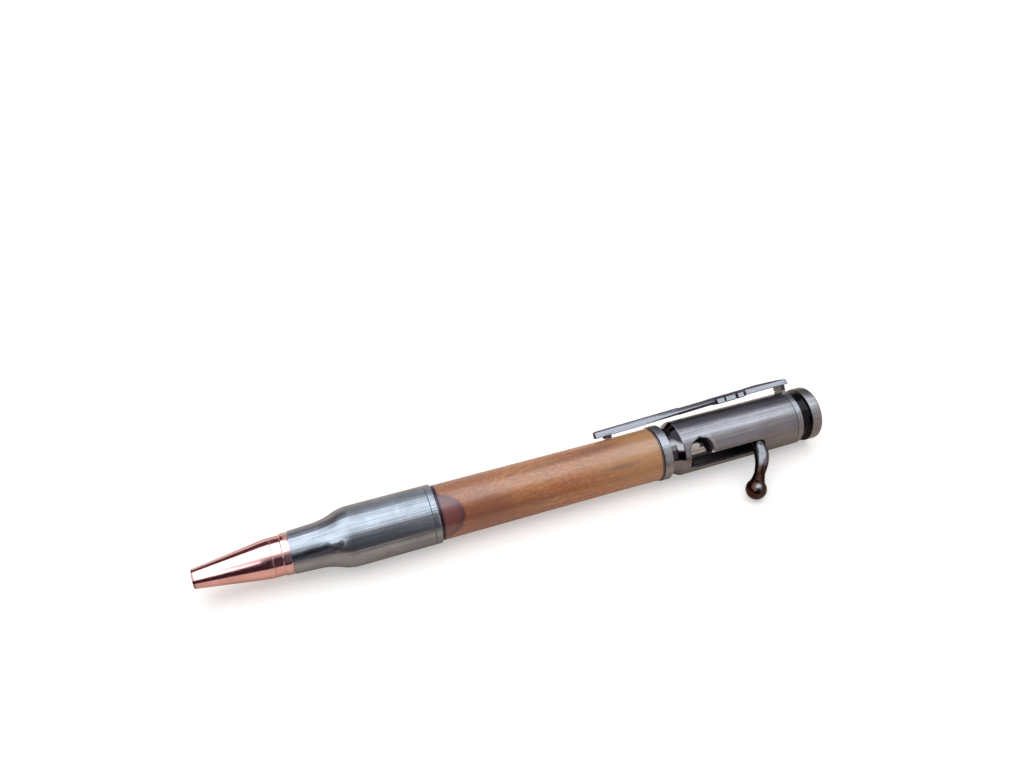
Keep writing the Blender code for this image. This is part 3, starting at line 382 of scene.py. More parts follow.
# Spring: hard-drawn steel wire, wound round the refill's neck between the nib's inner step and the refill's
# shoulder. It pushes the refill and the bolt back.
dress("refill_spring", turned_metal("drawn wire", (0.36, 0.36, 0.38), (0.62, 0.62, 0.64), 0.18, 0.3, 0.0005))

# Nib: a long cone with a short sleeve, a scribed line and a raised band, turned, polished and copper plated.
# Its hidden spigot screws into the casing.
nib = lathe("copper_nib", closed([
    (0, 1.995, 0.42), (14.6, 4.12, 1.6), (15.62, 4.12, 0.03), (15.68, 4.05), (15.74, 4.12, 0.03),
    (17.6, 4.12, 0.03), (17.72, 4.34, 0.08), (19.2, 4.34, 0.07), (19.2, 3.7), (25.2, 3.7, 0.2),
    (25.2, 3.15), (11.45, 3.15), (10.6, 2.3), (5.0, 2.3), (5.0, 1.375), (0, 1.375, 0.1)]))
# painted shade: the copper darkens towards the rounded front rim of the tip
stands_for(nib, "nib_tip", "tip",
           polished_metal("copper plate", (0.72, 0.40, 0.37), (0.81, 0.485, 0.46), 0.1, 0.24,
                          shade=((0.16, 0.05, 0.06), "X", 0.5, 0.12)))

# Front casing: the shape of a bottlenecked cartridge case, plated in pewter and brushed lengthwise.
# It screws on the front coupler, and the nib screws into it.
casing = lathe("cartridge_casing", closed([
    (19.3, 4.45, 0.1), (26.5, 4.83, 1.88), (30.3, 6.4, 1.68), (48.22, 6.4, 0.03), (48.32, 6.28),
    (48.42, 6.4, 0.03), (49.8, 6.4, 0.25), (49.8, 4.6), (39.7, 4.6), (39.7, 3.15), (25.4, 3.15), (25.4, 3.8),
    (19.3, 3.8)]))


def pen_direction(degrees):
    """Direction away from the axis at an angle round the pen, counted up from the handle's side."""
    return Vector((0, -math.cos(math.radians(degrees)), math.sin(math.radians(degrees))))


def spot(tree, place, radius, station, degrees, along, across, wobble):
    """Distance from a place on the pen, 1 at the rim of an oval of a size in millimetres, with an uneven rim."""
    centre = AXIS + (Vector((station, 0, 0)) + pen_direction(degrees) * radius) * MM
    size = [1 / (extent * MM) for extent in (along, across, across)]
    oval = vector_maths(tree, "MULTIPLY", vector_maths(tree, "SUBTRACT", place, centre), size)
    return times_plus(tree, wobble, 0.45, minus(tree, vector_maths(tree, "LENGTH", oval), 0.22))


def stretched(tree, place, along, across, detail=2.0, roughness=0.55, distortion=0.0):
    """Noise drawn out along the pen, given in lumps per metre along and across it."""
    lumps = add_node(tree, "ShaderNodeMapping", {"Vector": place, "Scale": (along, across, across)}).outputs[0]
    return noise_at(tree, lumps, 1.0, detail, roughness, distortion)


def casing_plate():
    """Brushed pewter with ragged near-black patches in the hollow before the shoulder, which are painted dark
    reflections.
    """
    finish = brushed_metal("antique pewter", (0.155, 0.164, 0.18), (0.40, 0.42, 0.45), 0.15, 0.28, 0.016)
    tree = finish.node_tree
    shader = tree.nodes["Principled BSDF"].inputs
    tone = shader["Base Color"].links[0].from_socket
    place = place_on(tree)
    wobble = stretched(tree, place, 500.0, 1300.0)
    # painted dark reflections: ragged near-black patches in the hollow before the shoulder
    for radius, *oval in ((4.6, 20.9, 38.0, 3.2, 0.45), (4.85, 24.6, 41.0, 3.0, 0.55),
                          (5.1, 26.4, 44.0, 1.1, 0.7), (5.75, 27.9, 39.0, 1.9, 0.8), (6.1, 29.2, 44.0, 0.7, 0.55)):
        patch = spot(tree, place, radius, *oval, wobble)
        tone = mixed(tree, ranged(tree, patch, 1.15, 0.75, 0.0, 0.75), tone, (0.02, 0.02, 0.026))
    tree.links.new(tone, shader["Base Color"])
    return finish


stands_for(casing, "front_casing", "tip", casing_plate())

# Front coupler: a dark plated sleeve with the thin flange that shows as a dark line. Its threaded stud carries
# the casing. It is glued into the barrel's lining, a drawn brass tube.
THREAD_PITCH = 0.9
thread = []
for start in (40.4 + turn * THREAD_PITCH for turn in range(10)):
    thread += [(start, 4.5), (start + 0.35, 4.18), (start + 0.45, 4.18), (start + 0.8, 4.5)]
coupler = lathe("front_stud", closed([
    (39.8, 4.2), *thread, (49.9, 4.5), (49.9, 5.88, 0.05), (50.2, 5.88, 0.05), (50.2, 4.5), (58.3, 4.5),
    (58.3, 3.15), (39.8, 3.15)]), 96)
stands_for(coupler, "front_coupler", "barrel",
           turned_metal("dark plate", (0.05, 0.03, 0.042), (0.11, 0.08, 0.10), 0.2, 0.36, 0.001))
dress("brass_tube", turned_metal("drawn brass", (0.42, 0.29, 0.11), (0.66, 0.48, 0.2), 0.26, 0.42, 0.001))

# Barrel: a sleeve of close-grained hardwood, bored, glued on its tube, turned, sanded and lacquered.
# A plum-brown heart stain meets the casing on the handle's side.
WOOD_RADIUS = 5.98
wood = lathe("turned_wood", closed([
    (50.3, WOOD_RADIUS, 0.1), (92.6, WOOD_RADIUS, 3.0), (101.6, 6.1, 0.1), (101.6, 5.1), (50.3, 5.1)]), 192)


def lacquered_wood():
    """Golden to pinkish brown wood with fine grain, pores, a few grey veins and the plum heart stain."""
    finish, tree, shader = new_finish("lacquered hardwood", 0.0, 0.4, Specular_IOR_Level=0.4, Coat_Weight=1.0,
                                      Coat_Roughness=0.25, Coat_IOR=1.57)
    place = place_on(tree)
    down_pen = split(tree, from_axis(tree))[0]
    cloud = stretched(tree, place, 42.0, 130.0, 3.0, 0.6, 0.6)
    figure = stretched(tree, place, 26.0, 420.0, 3.0, 0.6, 0.9)
    fine = stretched(tree, place, 420.0, 4200.0, 3.0, 0.7)
    mottle = stretched(tree, place, 900.0, 1500.0, 3.0, 0.7)
    vein = stretched(tree, place, 16.0, 620.0, 2.0, 0.5, 1.2)
    wobble = stretched(tree, place, 330.0, 330.0)
    base = mixed(tree, ranged(tree, cloud, 0.38, 0.62), (0.49, 0.158, 0.028), (0.44, 0.115, 0.025))
    for pattern, bare, full, depth, tint in (
            (figure, 0.5, 0.68, 0.6, (0.27, 0.078, 0.024)), (figure, 0.5, 0.36, 0.35, (0.58, 0.27, 0.11)),
            (fine, 0.46, 0.66, 0.6, (0.19, 0.06, 0.022)), (mottle, 0.5, 0.68, 0.42, (0.2, 0.062, 0.024)),
            (mottle, 0.48, 0.34, 0.3, (0.66, 0.33, 0.15)), (vein, 0.66, 0.74, 0.55, (0.16, 0.085, 0.055)),
            (down_pen, 83 * MM, 96 * MM, 0.5, (0.5, 0.25, 0.085))):
        base = mixed(tree, ranged(tree, pattern, bare, full, 0.0, depth), base, tint)
    # a few grey streaks, then the reddish flushes at the top, by the casing and behind the stain
    streaks = ((91.0, 43.0, 5.5, 0.7, 0.65), (78.0, 93.0, 13.0, 0.55, 0.45), (87.5, 98.0, 5.5, 0.8, 0.5),
               (73.0, 20.0, 6.0, 0.5, 0.4))
    flushes = ((56.0, 122.0, 9.0, 3.2, 0.5), (60.0, 28.0, 6.5, 5.0, 0.62), (87.0, 100.0, 9.0, 1.3, 0.45),
               (61.0, -4.0, 13.0, 6.0, 0.62))
    for ovals, rim, full, tint in ((streaks, 1.1, 0.4, (0.17, 0.085, 0.05)),
                                   (flushes, 1.2, 0.5, (0.25, 0.066, 0.026))):
        for *oval, depth in ovals:
            patch = spot(tree, place, WOOD_RADIUS, *oval, wobble)
            base = mixed(tree, ranged(tree, patch, rim, full, 0.0, depth), base, tint)
    stain = spot(tree, place, WOOD_RADIUS, 49.4, 38.0, 5.5, 5.3, wobble)
    base = mixed(tree, ranged(tree, stain, 0.95, 1.09, 0.9, 0.0), base, (0.155, 0.032, 0.034))
    rim = times(tree, ranged(tree, stain, 0.74, 0.93), ranged(tree, stain, 0.97, 1.08, 0.75, 0.0))
    base = mixed(tree, rim, base, (0.075, 0.014, 0.018))
    # both ends are dark with the glue of the fittings
    ends = larger(tree, within(tree, down_pen, 50.7, 50.5, 0.95), within(tree, down_pen, 101.0, 101.2, 0.95))
    base = mixed(tree, ends, base, (0.045, 0.008, 0.016))
    lay_on(tree, shader, base, ranged(tree, fine, 0.3, 0.7, 0.36, 0.52))
    raise_surface(tree, shader, times_plus(tree, fine, -0.7, times(tree, mottle, -0.4)), 0.02)
    return finish


stands_for(wood, "wood_barrel", "barrel", lacquered_wood())

# Ring: brushed pewter plate between the barrel and the housing, with a spigot glued into the barrel's tube
# and a stud that the housing is pressed on.
ring = lathe("barrel_ring", closed([
    (93.7, 4.5), (101.7, 4.5), (101.7, 6.35, 0.14), (103.75, 6.35, 0.14), (103.75, 4.8), (107.15, 4.8),
    (107.15, 3.9), (93.7, 3.9)]))
stands_for(ring, "ring_coupler", "barrel",
           brushed_metal("brushed pewter", (0.20, 0.195, 0.205), (0.34, 0.335, 0.35), 0.18, 0.3, 0.014))

# Housing: gunmetal plate on a bored tube, polished at the neck and cone and brushed lengthwise on the body.
# A milled slot lets the handle run along the pen, and a round countersunk pocket at its front locks it.
housing = lathe("bolt_housing_shell", closed([
    (103.85, 5.45, 0.08), (105.35, 5.45, 0.2), (106.85, BODY_RADIUS, 0.2), (136.55, BODY_RADIUS, 0.12),
    (136.55, 2.6), (130.55, 2.6), (130.55, 3.9), (107.25, 3.9), (107.25, 4.9), (103.85, 4.9)]))
SLOT_DEGREES, SLOT_FRONT, SLOT_HALF = 5.0, 108.2, 1.65
POCKET_DEGREES, POCKET_STATION, POCKET_RADIUS = 34.0, 110.5, 2.3
HANDLE_STATION = 126.0
CUT_TOP = 7.5


def swing(piece, degrees):
    """Turns a piece, made standing up from the axis, to an angle round the pen."""
    turn = Matrix.Rotation(math.radians(90.0 - degrees), 4, "X")
    piece.data.transform(Matrix.Translation(AXIS) @ turn @ Matrix.Translation(-AXIS))


def stand_round(name, station, low, low_radius, high, high_radius):
    """A round or conical block standing up from the axis."""
    return new_piece(name, bpy.ops.mesh.primitive_cone_add, vertices=64, radius1=low_radius * MM,
                     radius2=high_radius * MM, depth=(high - low) * MM,
                     location=on_pen(station, 0, (low + high) / 2))


def stand_block(name, front, rear, low_side, high_side, low, high):
    """A square block standing up from the axis."""
    return new_piece(name, bpy.ops.mesh.primitive_cube_add, size=MM,
                     location=on_pen((front + rear) / 2, (low_side + high_side) / 2, (low + high) / 2),
                     scale=(rear - front, high_side - low_side, high - low))


def pick(piece):
    """Selects one piece alone."""
    bpy.ops.object.select_all(action="DESELECT")
    bpy.context.view_layer.objects.active = piece
    piece.select_set(True)


def combine(piece, other, operation):
    """Cuts or fuses another block with a piece and removes the block."""
    change = piece.modifiers.new(other.name, "BOOLEAN")
    change.operation = operation
    change.solver = "EXACT"
    change.object = other
    pick(piece)
    bpy.ops.object.modifier_apply(modifier=change.name)
    bpy.data.objects.remove(other)


slot_block = stand_block("slot_block", SLOT_FRONT, HANDLE_STATION, -SLOT_HALF, SLOT_HALF, 0, CUT_TOP)
slot_end = stand_round("slot_end", HANDLE_STATION, 0, SLOT_HALF, CUT_TOP, SLOT_HALF)
for block in (slot_block, slot_end):
    swing(block, SLOT_DEGREES)
    combine(housing, block, "DIFFERENCE")

# the way from the slot up to the pocket: a wall swung round the axis
crossing = new_piece("crossing_block", bpy.ops.mesh.primitive_plane_add, size=MM, rotation=(math.pi / 2, 0, 0),
                     scale=(2.28, 5.5, 1.0), location=on_pen(109.36, 0, 4.75))
swing(crossing, SLOT_DEGREES)
edit_all()
bpy.ops.mesh.spin(steps=24, angle=math.radians(POCKET_DEGREES - SLOT_DEGREES), center=AXIS, axis=(-1, 0, 0))
tidy_faces()
combine(housing, crossing, "DIFFERENCE")
pocket = stand_round("pocket_block", POCKET_STATION, 0, POCKET_RADIUS, CUT_TOP, POCKET_RADIUS)
countersink = stand_round("countersink_block", 111.6, 5.6, POCKET_RADIUS, 7.3, 3.514)
for block in (pocket, countersink):
    swing(block, POCKET_DEGREES)
    combine(housing, block, "DIFFERENCE")


def crisp(piece):
    """Clears the slivers that a cut leaves and shades the piece with crisp edges."""
    pick(piece)
    edit_all()
    bpy.ops.mesh.dissolve_degenerate(threshold=MM / 2000)
    tidy_faces()
    bpy.ops.object.shade_smooth_by_angle(angle=math.radians(CRISP_DEGREES))


crisp(housing)


def housing_plate():
    """Brushed gunmetal on the body and polished neck and cone, with painted reflections, shadow and highlight, and
    painted shade inside.
    """
    finish, tree, shader = new_finish("brushed gunmetal", 0.9, 0.3, Specular_IOR_Level=0.05)
    brush, use = group_node(tree, DRAWN_LINES), group_node(tree, HANDLING)
    away = from_axis(tree)
    along, side, upper = split(tree, away)
    body = within(tree, along, 106.65, 106.95)
    tone = times_plus(tree, brush["Fine"], 0.45, times(tree, brush["Broad"], 0.35))
    tone = times(tree, times_plus(tree, use["Smudges"], 0.2, tone), body)
    plate = mixed(tree, tone, (0.29, 0.275, 0.29), (0.12, 0.11, 0.115))
    # painted dark reflections on the polished neck and cone: a band on the near side, and the top
    patch = times(tree, within(tree, upper, 1.8, 2.1), within(tree, upper, 4.0, 3.8))
    patch = larger(tree, times(tree, patch, within(tree, side, 0.0, -1.0, 0.85)), within(tree, upper, 4.9, 5.3))
    plate = mixed(tree, body, mixed(tree, patch, (0.2, 0.19, 0.195), (0.02, 0.017, 0.02)), plate)
    # places round the pocket: reach is the distance from its middle, rearward and upward the way it lies in
    pocket_out = pen_direction(POCKET_DEGREES)
    around = vector_maths(tree, "DOT_PRODUCT", away, (pocket_out.x, pocket_out.z, -pocket_out.y))
    from_pocket = minus(tree, along, POCKET_STATION * MM)
    ray = add_node(tree, "ShaderNodeCombineXYZ", {0: from_pocket, 1: around}).outputs[0]
    reach = vector_maths(tree, "LENGTH", ray)
    heading = vector_maths(tree, "NORMALIZE", ray)
    rearward, upward = split(tree, heading)[:2]
    near_pocket = times(tree, within(tree, vector_maths(tree, "DOT_PRODUCT", away, pocket_out), 1.0, 2.0), body)
    # painted shadow in the pocket: its black runs out in ragged streaks into a painted highlight on the
    # countersink behind it
    streak = ranged(tree, noise_at(tree, heading, 11.0, 3.0), 0.35, 0.65, -0.3 * MM, 0.3 * MM)
    streak = maths(tree, "ADD", reach, streak)
    painted_halo = times(tree, within(tree, streak, 3.0, 3.4), within(tree, streak, 4.3, 3.6))
    painted_halo = times(tree, times(tree, painted_halo, near_pocket), ranged(tree, rearward, 0.6, 0.95, 0.0, 0.6))
    plate = mixed(tree, painted_halo, plate, (0.42, 0.41, 0.44))
    # painted shadow: black inside the pocket and over its rear and upper edge
    behind = ranged(tree, times_plus(tree, upward, 0.5, rearward), 0.1, 0.9)
    black = within(tree, times_plus(tree, behind, -0.8 * MM, streak), 2.4, 2.0)
    black = times(tree, black, ranged(tree, behind, 0.0, 0.15))
    black = times(tree, larger(tree, black, within(tree, reach, 2.44, 2.38)), near_pocket)
    # inside, every wall is painted dark as shade; on the slot's walls the marks of the milling cutter show and
    # fade into black to the rear
    radius = vector_maths(tree, "LENGTH", vector_maths(tree, "MULTIPLY", away, (0.0, 1.0, 1.0)))
    inside = times(tree, body, within(tree, radius, 5.95, 5.85))
    slot_wall = times(tree, inside, minus(tree, 1.0, black))
    slot_wall = times(tree, slot_wall, ranged(tree, from_pocket, 4.0 * MM, 10.0 * MM, 1.0, 0.15))
    milled_in_shade = mixed(tree, brush["Fine"], (0.012, 0.009, 0.01), (0.085, 0.068, 0.072))
    black = larger(tree, black, inside)
    plate = mixed(tree, black, plate, mixed(tree, slot_wall, (0.002, 0.001, 0.0015), milled_in_shade))
    metal = times(tree, minus(tree, 1.0, black), ranged(tree, body, 0.0, 1.0, 1.0, 0.9))
    tree.links.new(metal, shader["Metallic"])
    gloss = times_plus(tree, body, times_plus(tree, brush["Fine"], 0.1, 0.1), 0.06)
    lay_on(tree, shader, plate, times_plus(tree, black, 0.4, gloss))
    raise_surface(tree, shader, times(tree, brush["Height"], body), 0.01)
    return finish


stands_for(housing, "bolt_housing", "barrel", housing_plate())

# Bolt: a polished steel cylinder that slides in the housing. Its cup pushes on the refill, and a cross hole
# takes the handle.
bolt = lathe("polished_bolt", [
    (110.9, 0), (110.9, 3.15), (104.7, 3.15), (104.7, 3.7, 0.15), (129.0, 3.7, 0.3), (129.0, 0)])
hole = stand_round("handle_hole", HANDLE_STATION, 1.2, 1.5, 5.0, 1.5)
swing(hole, SLOT_DEGREES)
combine(bolt, hole, "DIFFERENCE")
crisp(bolt)
# painted shadow: the bolt is dark above a height, under the lip of the housing's pocket
stands_for(bolt, "bolt_body", "bolt",
           polished_metal("polished steel", (0.48, 0.45, 0.43), (0.62, 0.585, 0.56), 0.14, 0.3,
                          shade=((0.012, 0.01, 0.012), "Z", 2.55, 2.85), metallic=0.85))

# Handle: a bent rod in gunmetal plate. It stands straight out of the bolt, bends down in one sweep and thins
# towards its ball.
SLOT_OUT = pen_direction(SLOT_DEGREES)
ROOT = on_pen(HANDLE_STATION, 0, 0)
BALL = ROOT + Vector((-4.9, -14.4, -4.0)) * MM
CORNER = ROOT + (SLOT_OUT * 8.7 + Vector((-0.25, 0, 0))) * MM
BEND = 7.0 * MM
THICKNESS = ((0.0, 1.35), (0.25, 1.38), (0.37, 1.58), (0.5, 1.66), (0.62, 1.5), (0.8, 1.2), (0.92, 1.2),
             (1.0, 1.22))


def handle_path():
    """Points down the rod's middle: straight, one round bend, straight."""
    start = ROOT + SLOT_OUT * 1.3 * MM
    end = BALL + (CORNER - BALL).normalized() * 0.6 * MM
    before, after = (start - CORNER).normalized(), (end - CORNER).normalized()
    half = before.angle(after) / 2
    reach = min(BEND / math.tan(half), (start - CORNER).length / 2, (end - CORNER).length / 2)
    centre = CORNER + (before + after).normalized() * reach / math.cos(half)
    first, last = CORNER + before * reach - centre, CORNER + after * reach - centre
    swing_angle = first.angle(last)
    points = [start.lerp(CORNER + before * reach, step / 6) for step in range(6)]
    for step in range(25):
        share = step / 24
        outward = first * math.sin((1 - share) * swing_angle) + last * math.sin(share * swing_angle)
        points.append(centre + outward / math.sin(swing_angle))
    points += [(CORNER + after * reach).lerp(end, step / 12) for step in range(1, 13)]
    return points


path = handle_path()
arm = new_piece("bent_handle", bpy.ops.mesh.primitive_circle_add, vertices=48, radius=THICKNESS[0][1] * MM,
                fill_type="NGON")
turn = Vector((0, 0, 1)).rotation_difference(path[1] - path[0]).to_matrix().to_4x4()
arm.data.transform(Matrix.Translation(path[0]) @ turn)
edit_all()
lengths = [0.0]
for before, after in zip(path, path[1:]):
    lengths.append(lengths[-1] + (after - before).length)


def rod_radius(share):
    """The rod is thickest in the bend and thinnest above the ball."""
    for (low, first), (high, last) in zip(THICKNESS, THICKNESS[1:]):
        if share <= high:
            return first + (last - first) * (share - low) / (high - low)
    return THICKNESS[-1][1]


for index in range(1, len(path)):
    step = path[index] - path[index - 1]
    bpy.ops.mesh.extrude_region_move(TRANSFORM_OT_translate={"value": step})
    ahead = path[min(index + 1, len(path) - 1)] - path[index - 1]
    shape = bmesh.from_edit_mesh(arm.data)
    ring_points = [vertex for vertex in shape.verts if vertex.select]
    face = next(face for face in shape.faces if face.select)
    face.normal_update()
    forward = ahead.normalized() if face.normal.dot(ahead) > 0 else -ahead.normalized()
    turn = face.normal.rotation_difference(forward)
    size_now = rod_radius(lengths[index] / lengths[-1])
    size_before = rod_radius(lengths[index - 1] / lengths[-1])
    about = Matrix.Translation(path[index]) @ turn.to_matrix().to_4x4() @ Matrix.Scale(size_now / size_before, 4)
    about = about @ Matrix.Translation(-path[index])
    bmesh.ops.transform(shape, matrix=about, verts=ring_points)
    bmesh.update_edit_mesh(arm.data)
tidy_faces()
crisp(arm)


def handle_plate(name, painted_brown_from, painted_brown_to, dark, light, painted_highlight_spot=None):
    """Gunmetal plate with the faint pebbles of the casting; brown below a height as a painted reflection of warm
    surroundings, darkest just above the ball as painted shade, and a painted highlight at a given spot."""
    finish, tree, shader = new_finish(name, 1.0, 0.2)
    use = group_node(tree, HANDLING)
    place = place_on(tree)
    pebble = noise_at(tree, place, 1500.0, 3.0)
    # painted reflection: brown below a height, as of warm surroundings mirrored in the plate
    brown = within(tree, split(tree, from_axis(tree))[2], painted_brown_from, painted_brown_to)
    brown = times_plus(tree, minus(tree, use["Smudges"], 0.5), 0.3, brown)
    tone = mixed(tree, brown, light, dark)
    # painted shade: darkest just above the ball
    from_ball = vector_maths(tree, "DISTANCE", place, BALL)
    painted_throat_shade = times(tree, within(tree, from_ball, 2.3, 2.7), within(tree, from_ball, 4.8, 3.8))
    tone = mixed(tree, painted_throat_shade, tone, (0.02, 0.008, 0.004))
    # painted highlight: a light spot where the overhead light is mirrored
    if painted_highlight_spot is not None:
        off_spot = vector_maths(tree, "DISTANCE", place, painted_highlight_spot)
        tone = mixed(tree, within(tree, off_spot, 0.85, 0.25), tone, (0.22, 0.225, 0.24))
    tone = mixed(tree, ranged(tree, pebble, 0.5, 0.66, 0.0, 0.25), tone, (0.05, 0.035, 0.035))
    gloss = larger(tree, times(tree, use["Smudges"], 0.5), use["Scratches"])
    lay_on(tree, shader, tone, ranged(tree, gloss, 0.0, 1.0, 0.12, 0.24))
    raise_surface(tree, shader, pebble, 0.008)
    return finish


arm_plate = handle_plate("arm plate", 0.6, -0.2, (0.04, 0.018, 0.01), (0.17, 0.165, 0.175))
stands_for(arm, "handle_arm", "bolt", arm_plate)

# Knob: a turned ball with a short flared neck in gunmetal plate, pressed on the end of the rod.
# It rests on the table.
BALL_RADIUS = 2.39
inward = (CORNER - BALL).normalized()
outline = [(-BALL_RADIUS, 0)]
for step in range(1, 27):
    angle = math.radians(180 - 5 * step)
    outline.append((BALL_RADIUS * math.cos(angle), BALL_RADIUS * math.sin(angle)))
outline += [(1.98, 1.56, 0.25), (2.9, 1.33, 0.5), (3.5, 1.275), (3.5, 1.24), (2.0, 1.24), (2.0, 1.27),
            (0.5, 1.27), (0.5, 0)]
knob = lathe("handle_ball", outline, 96)
turn = Vector((1, 0, 0)).rotation_difference(inward).to_matrix().to_4x4()
knob.data.transform(Matrix.Translation(BALL) @ turn @ Matrix.Translation(-AXIS))
# the ball has a painted highlight near its top
stands_for(knob, "handle_knob", "bolt",
           handle_plate("ball plate", -0.6, -1.2, (0.06, 0.025, 0.015), (0.2, 0.19, 0.2),
                        painted_highlight_spot=BALL + Vector((-0.45, -1.05, 2.1)) * MM))

# Clip ring: a turned band in brushed gunmetal plate, clamped between housing and cap, with the short tab
# that carries the clip.
CLIP_DEGREES = 134.0
POST_FRONT, POST_REAR = 137.05, 138.05
band = lathe("clip_band", closed([
    (136.65, 6.25, 0.12), (138.05, 6.25, 0.12), (138.05, 2.6), (136.65, 2.6)]))
tab = stand_block("tab_block", POST_FRONT, POST_REAR, -1.7, 1.7, 3.2, 6.6)
swing(tab, CLIP_DEGREES)
combine(band, tab, "UNION")
crisp(band)
stands_for(band, "clip_ring", "barrel",
           brushed_metal("brushed gunmetal band", (0.17, 0.165, 0.175), (0.28, 0.275, 0.29), 0.18, 0.3, 0.012))

# Clip: one casting in the outline of a rifle, plated and brushed. Its stock ends in the post, its muzzle in
# the foot. The outer face is sunk and black between the raised barrel, sight and bolt.
CLIP_FRONT, CLIP_LENGTH = 88.95, 49.85
PROFILE = ((0.0, 6.7, 8.1), (0.22, 6.95, 8.25), (0.38, 7.32, 8.52), (0.606, 7.67, 8.87), (0.608, 7.42, 9.02),
           (0.779, 7.62, 9.22), (0.781, 7.86, 9.2), (0.88, 7.98, 9.38), (0.94, 8.0, 9.32), (1.0, 8.02, 9.22))
FAR_SIDE = ((0, 0.95), (0.417, 0.95), (0.419, 2.15), (0.459, 2.15), (0.461, 1.5), (0.489, 1.5), (0.491, 2.15),
            (0.606, 2.15), (0.608, 1.25), (0.731, 1.25), (0.78, 1.65), (0.82, 2.08), (0.865, 2.25), (0.90, 2.18),
            (0.945, 1.9), (1.0, 1.75))
NEAR_SIDE = ((0, 0.95), (0.29, 0.95), (0.34, 1.3), (0.41, 1.83), (0.46, 1.9), (0.606, 1.9), (0.608, 1.05),
             (0.618, 1.05), (0.62, 2.0), (0.657, 2.0), (0.659, 1.05), (0.665, 1.05), (0.667, 2.0), (0.717, 2.0),
             (0.719, 1.05), (0.73, 1.05), (0.732, 2.0), (0.761, 2.0), (0.763, 1.05), (0.779, 1.05), (0.781, 1.51),
             (0.90, 2.15), (0.945, 2.2), (0.985, 2.2), (1.0, 2.1))
UNDERCUT = ((0, 0.12), (0.24, 0.12), (0.42, 0.42), (0.6, 0.56), (0.62, 0.14), (1.0, 0.12))
BLACK_EDGE = ((0, 0.1), (0.3, 0.11), (0.42, 0.14), (0.606, 0.13), (0.608, 0.55), (0.779, 0.5), (0.781, 0.24),
              (0.84, 0.26), (0.9, 0.3), (0.96, 0.15), (1.0, 0.08))
LEAN = 0.42


def read_off(table, share, column=1):
    """Reads a table of (share, value...) between its rows."""
    for low, high in zip(table, table[1:]):
        if low[0] <= share <= high[0]:
            return low[column] + (high[column] - low[column]) * (share - low[0]) / (high[0] - low[0])
    return table[-1][column]


def clip_section(share):
    """Outline across the clip as (side, height): a leaning near wall between an undercut and a broken edge."""
    low, high = read_off(PROFILE, share), read_off(PROFILE, share, 2)
    far, near = read_off(FAR_SIDE, share), -read_off(NEAR_SIDE, share)
    fold = low + (high - low) * read_off(UNDERCUT, share)
    edge = read_off(BLACK_EDGE, share)
    top = high - edge * 0.8
    return ((far - 0.1, low), (far, low + 0.1), (far, high - 0.15), (far - 0.15, high),
            (near + LEAN + edge, high), (near + LEAN * (top - fold) / (high - fold), top), (near, fold),
            (near + 0.25, low))


tables = (PROFILE, FAR_SIDE, NEAR_SIDE, UNDERCUT, BLACK_EDGE)
shares = sorted({row[0] for table in tables for row in table} | {index / 40 for index in range(41)})
blade = new_piece("rifle_clip", bpy.ops.mesh.primitive_circle_add, vertices=len(clip_section(0)), radius=MM,
                  fill_type="NGON")
edit_all()
section = []
for share in shares:
    if section:
        bpy.ops.mesh.extrude_region_move(TRANSFORM_OT_translate={"value": (0, 0, 0)})
    shape = bmesh.from_edit_mesh(blade.data)
    picked = [vertex for vertex in shape.verts if vertex.select]
    order = [min(picked, key=lambda vertex: (vertex.co - corner).length) for corner in section] or picked
    section = [on_pen(CLIP_FRONT + CLIP_LENGTH * share, side, height) for side, height in clip_section(share)]
    for vertex, corner in zip(order, section):
        vertex.co = corner
    bmesh.update_edit_mesh(blade.data)
tidy_faces()


def lying_round(name, first, last, side, radius, height, ends=1.0):
    """A bar along the clip between two shares of its length, sunk into its outer face."""
    start, stop = (on_pen(CLIP_FRONT + CLIP_LENGTH * share, side, read_off(PROFILE, share, 2) + height)
                   for share in (first, last))
    bar = new_piece(name, bpy.ops.mesh.primitive_cone_add, vertices=32, radius1=radius * MM,
                    radius2=radius * ends * MM, depth=(stop - start).length)
    turn = Vector((0, 0, 1)).rotation_difference(stop - start).to_matrix().to_4x4()
    bar.data.transform(Matrix.Translation((start + stop) / 2) @ turn)
    return bar


for bar in (("raised_barrel", 0.004, 0.43, 0.05, 0.5, -0.3, 1.25),
            ("raised_action", 0.425, 0.78, -0.45, 0.72, -0.66), ("sight_tube", 0.424, 0.603, 1.22, 0.42, -0.36),
            ("sight_front", 0.426, 0.452, 1.22, 0.7, -0.6, 0.8),
            ("sight_rear", 0.555, 0.6, 1.22, 0.5, -0.44, 1.1)):
    combine(blade, lying_round(*bar), "UNION")
for name, front, rear, width, low, high in (("post_block", POST_FRONT, POST_REAR, 1.7, 6.7, 8.4),
                                            ("foot_block", 91.1, 92.6, 0.9, 6.13, 7.2)):
    combine(blade, stand_block(name, front, rear, -width, width, low, high), "UNION")
for station in (135.6, 137.4):
    groove = stand_block("butt_groove", station, station + 0.2, -1.5, 3.0, 9.12, 10.0)
    combine(blade, groove, "DIFFERENCE")
swing(blade, CLIP_DEGREES)
crisp(blade)

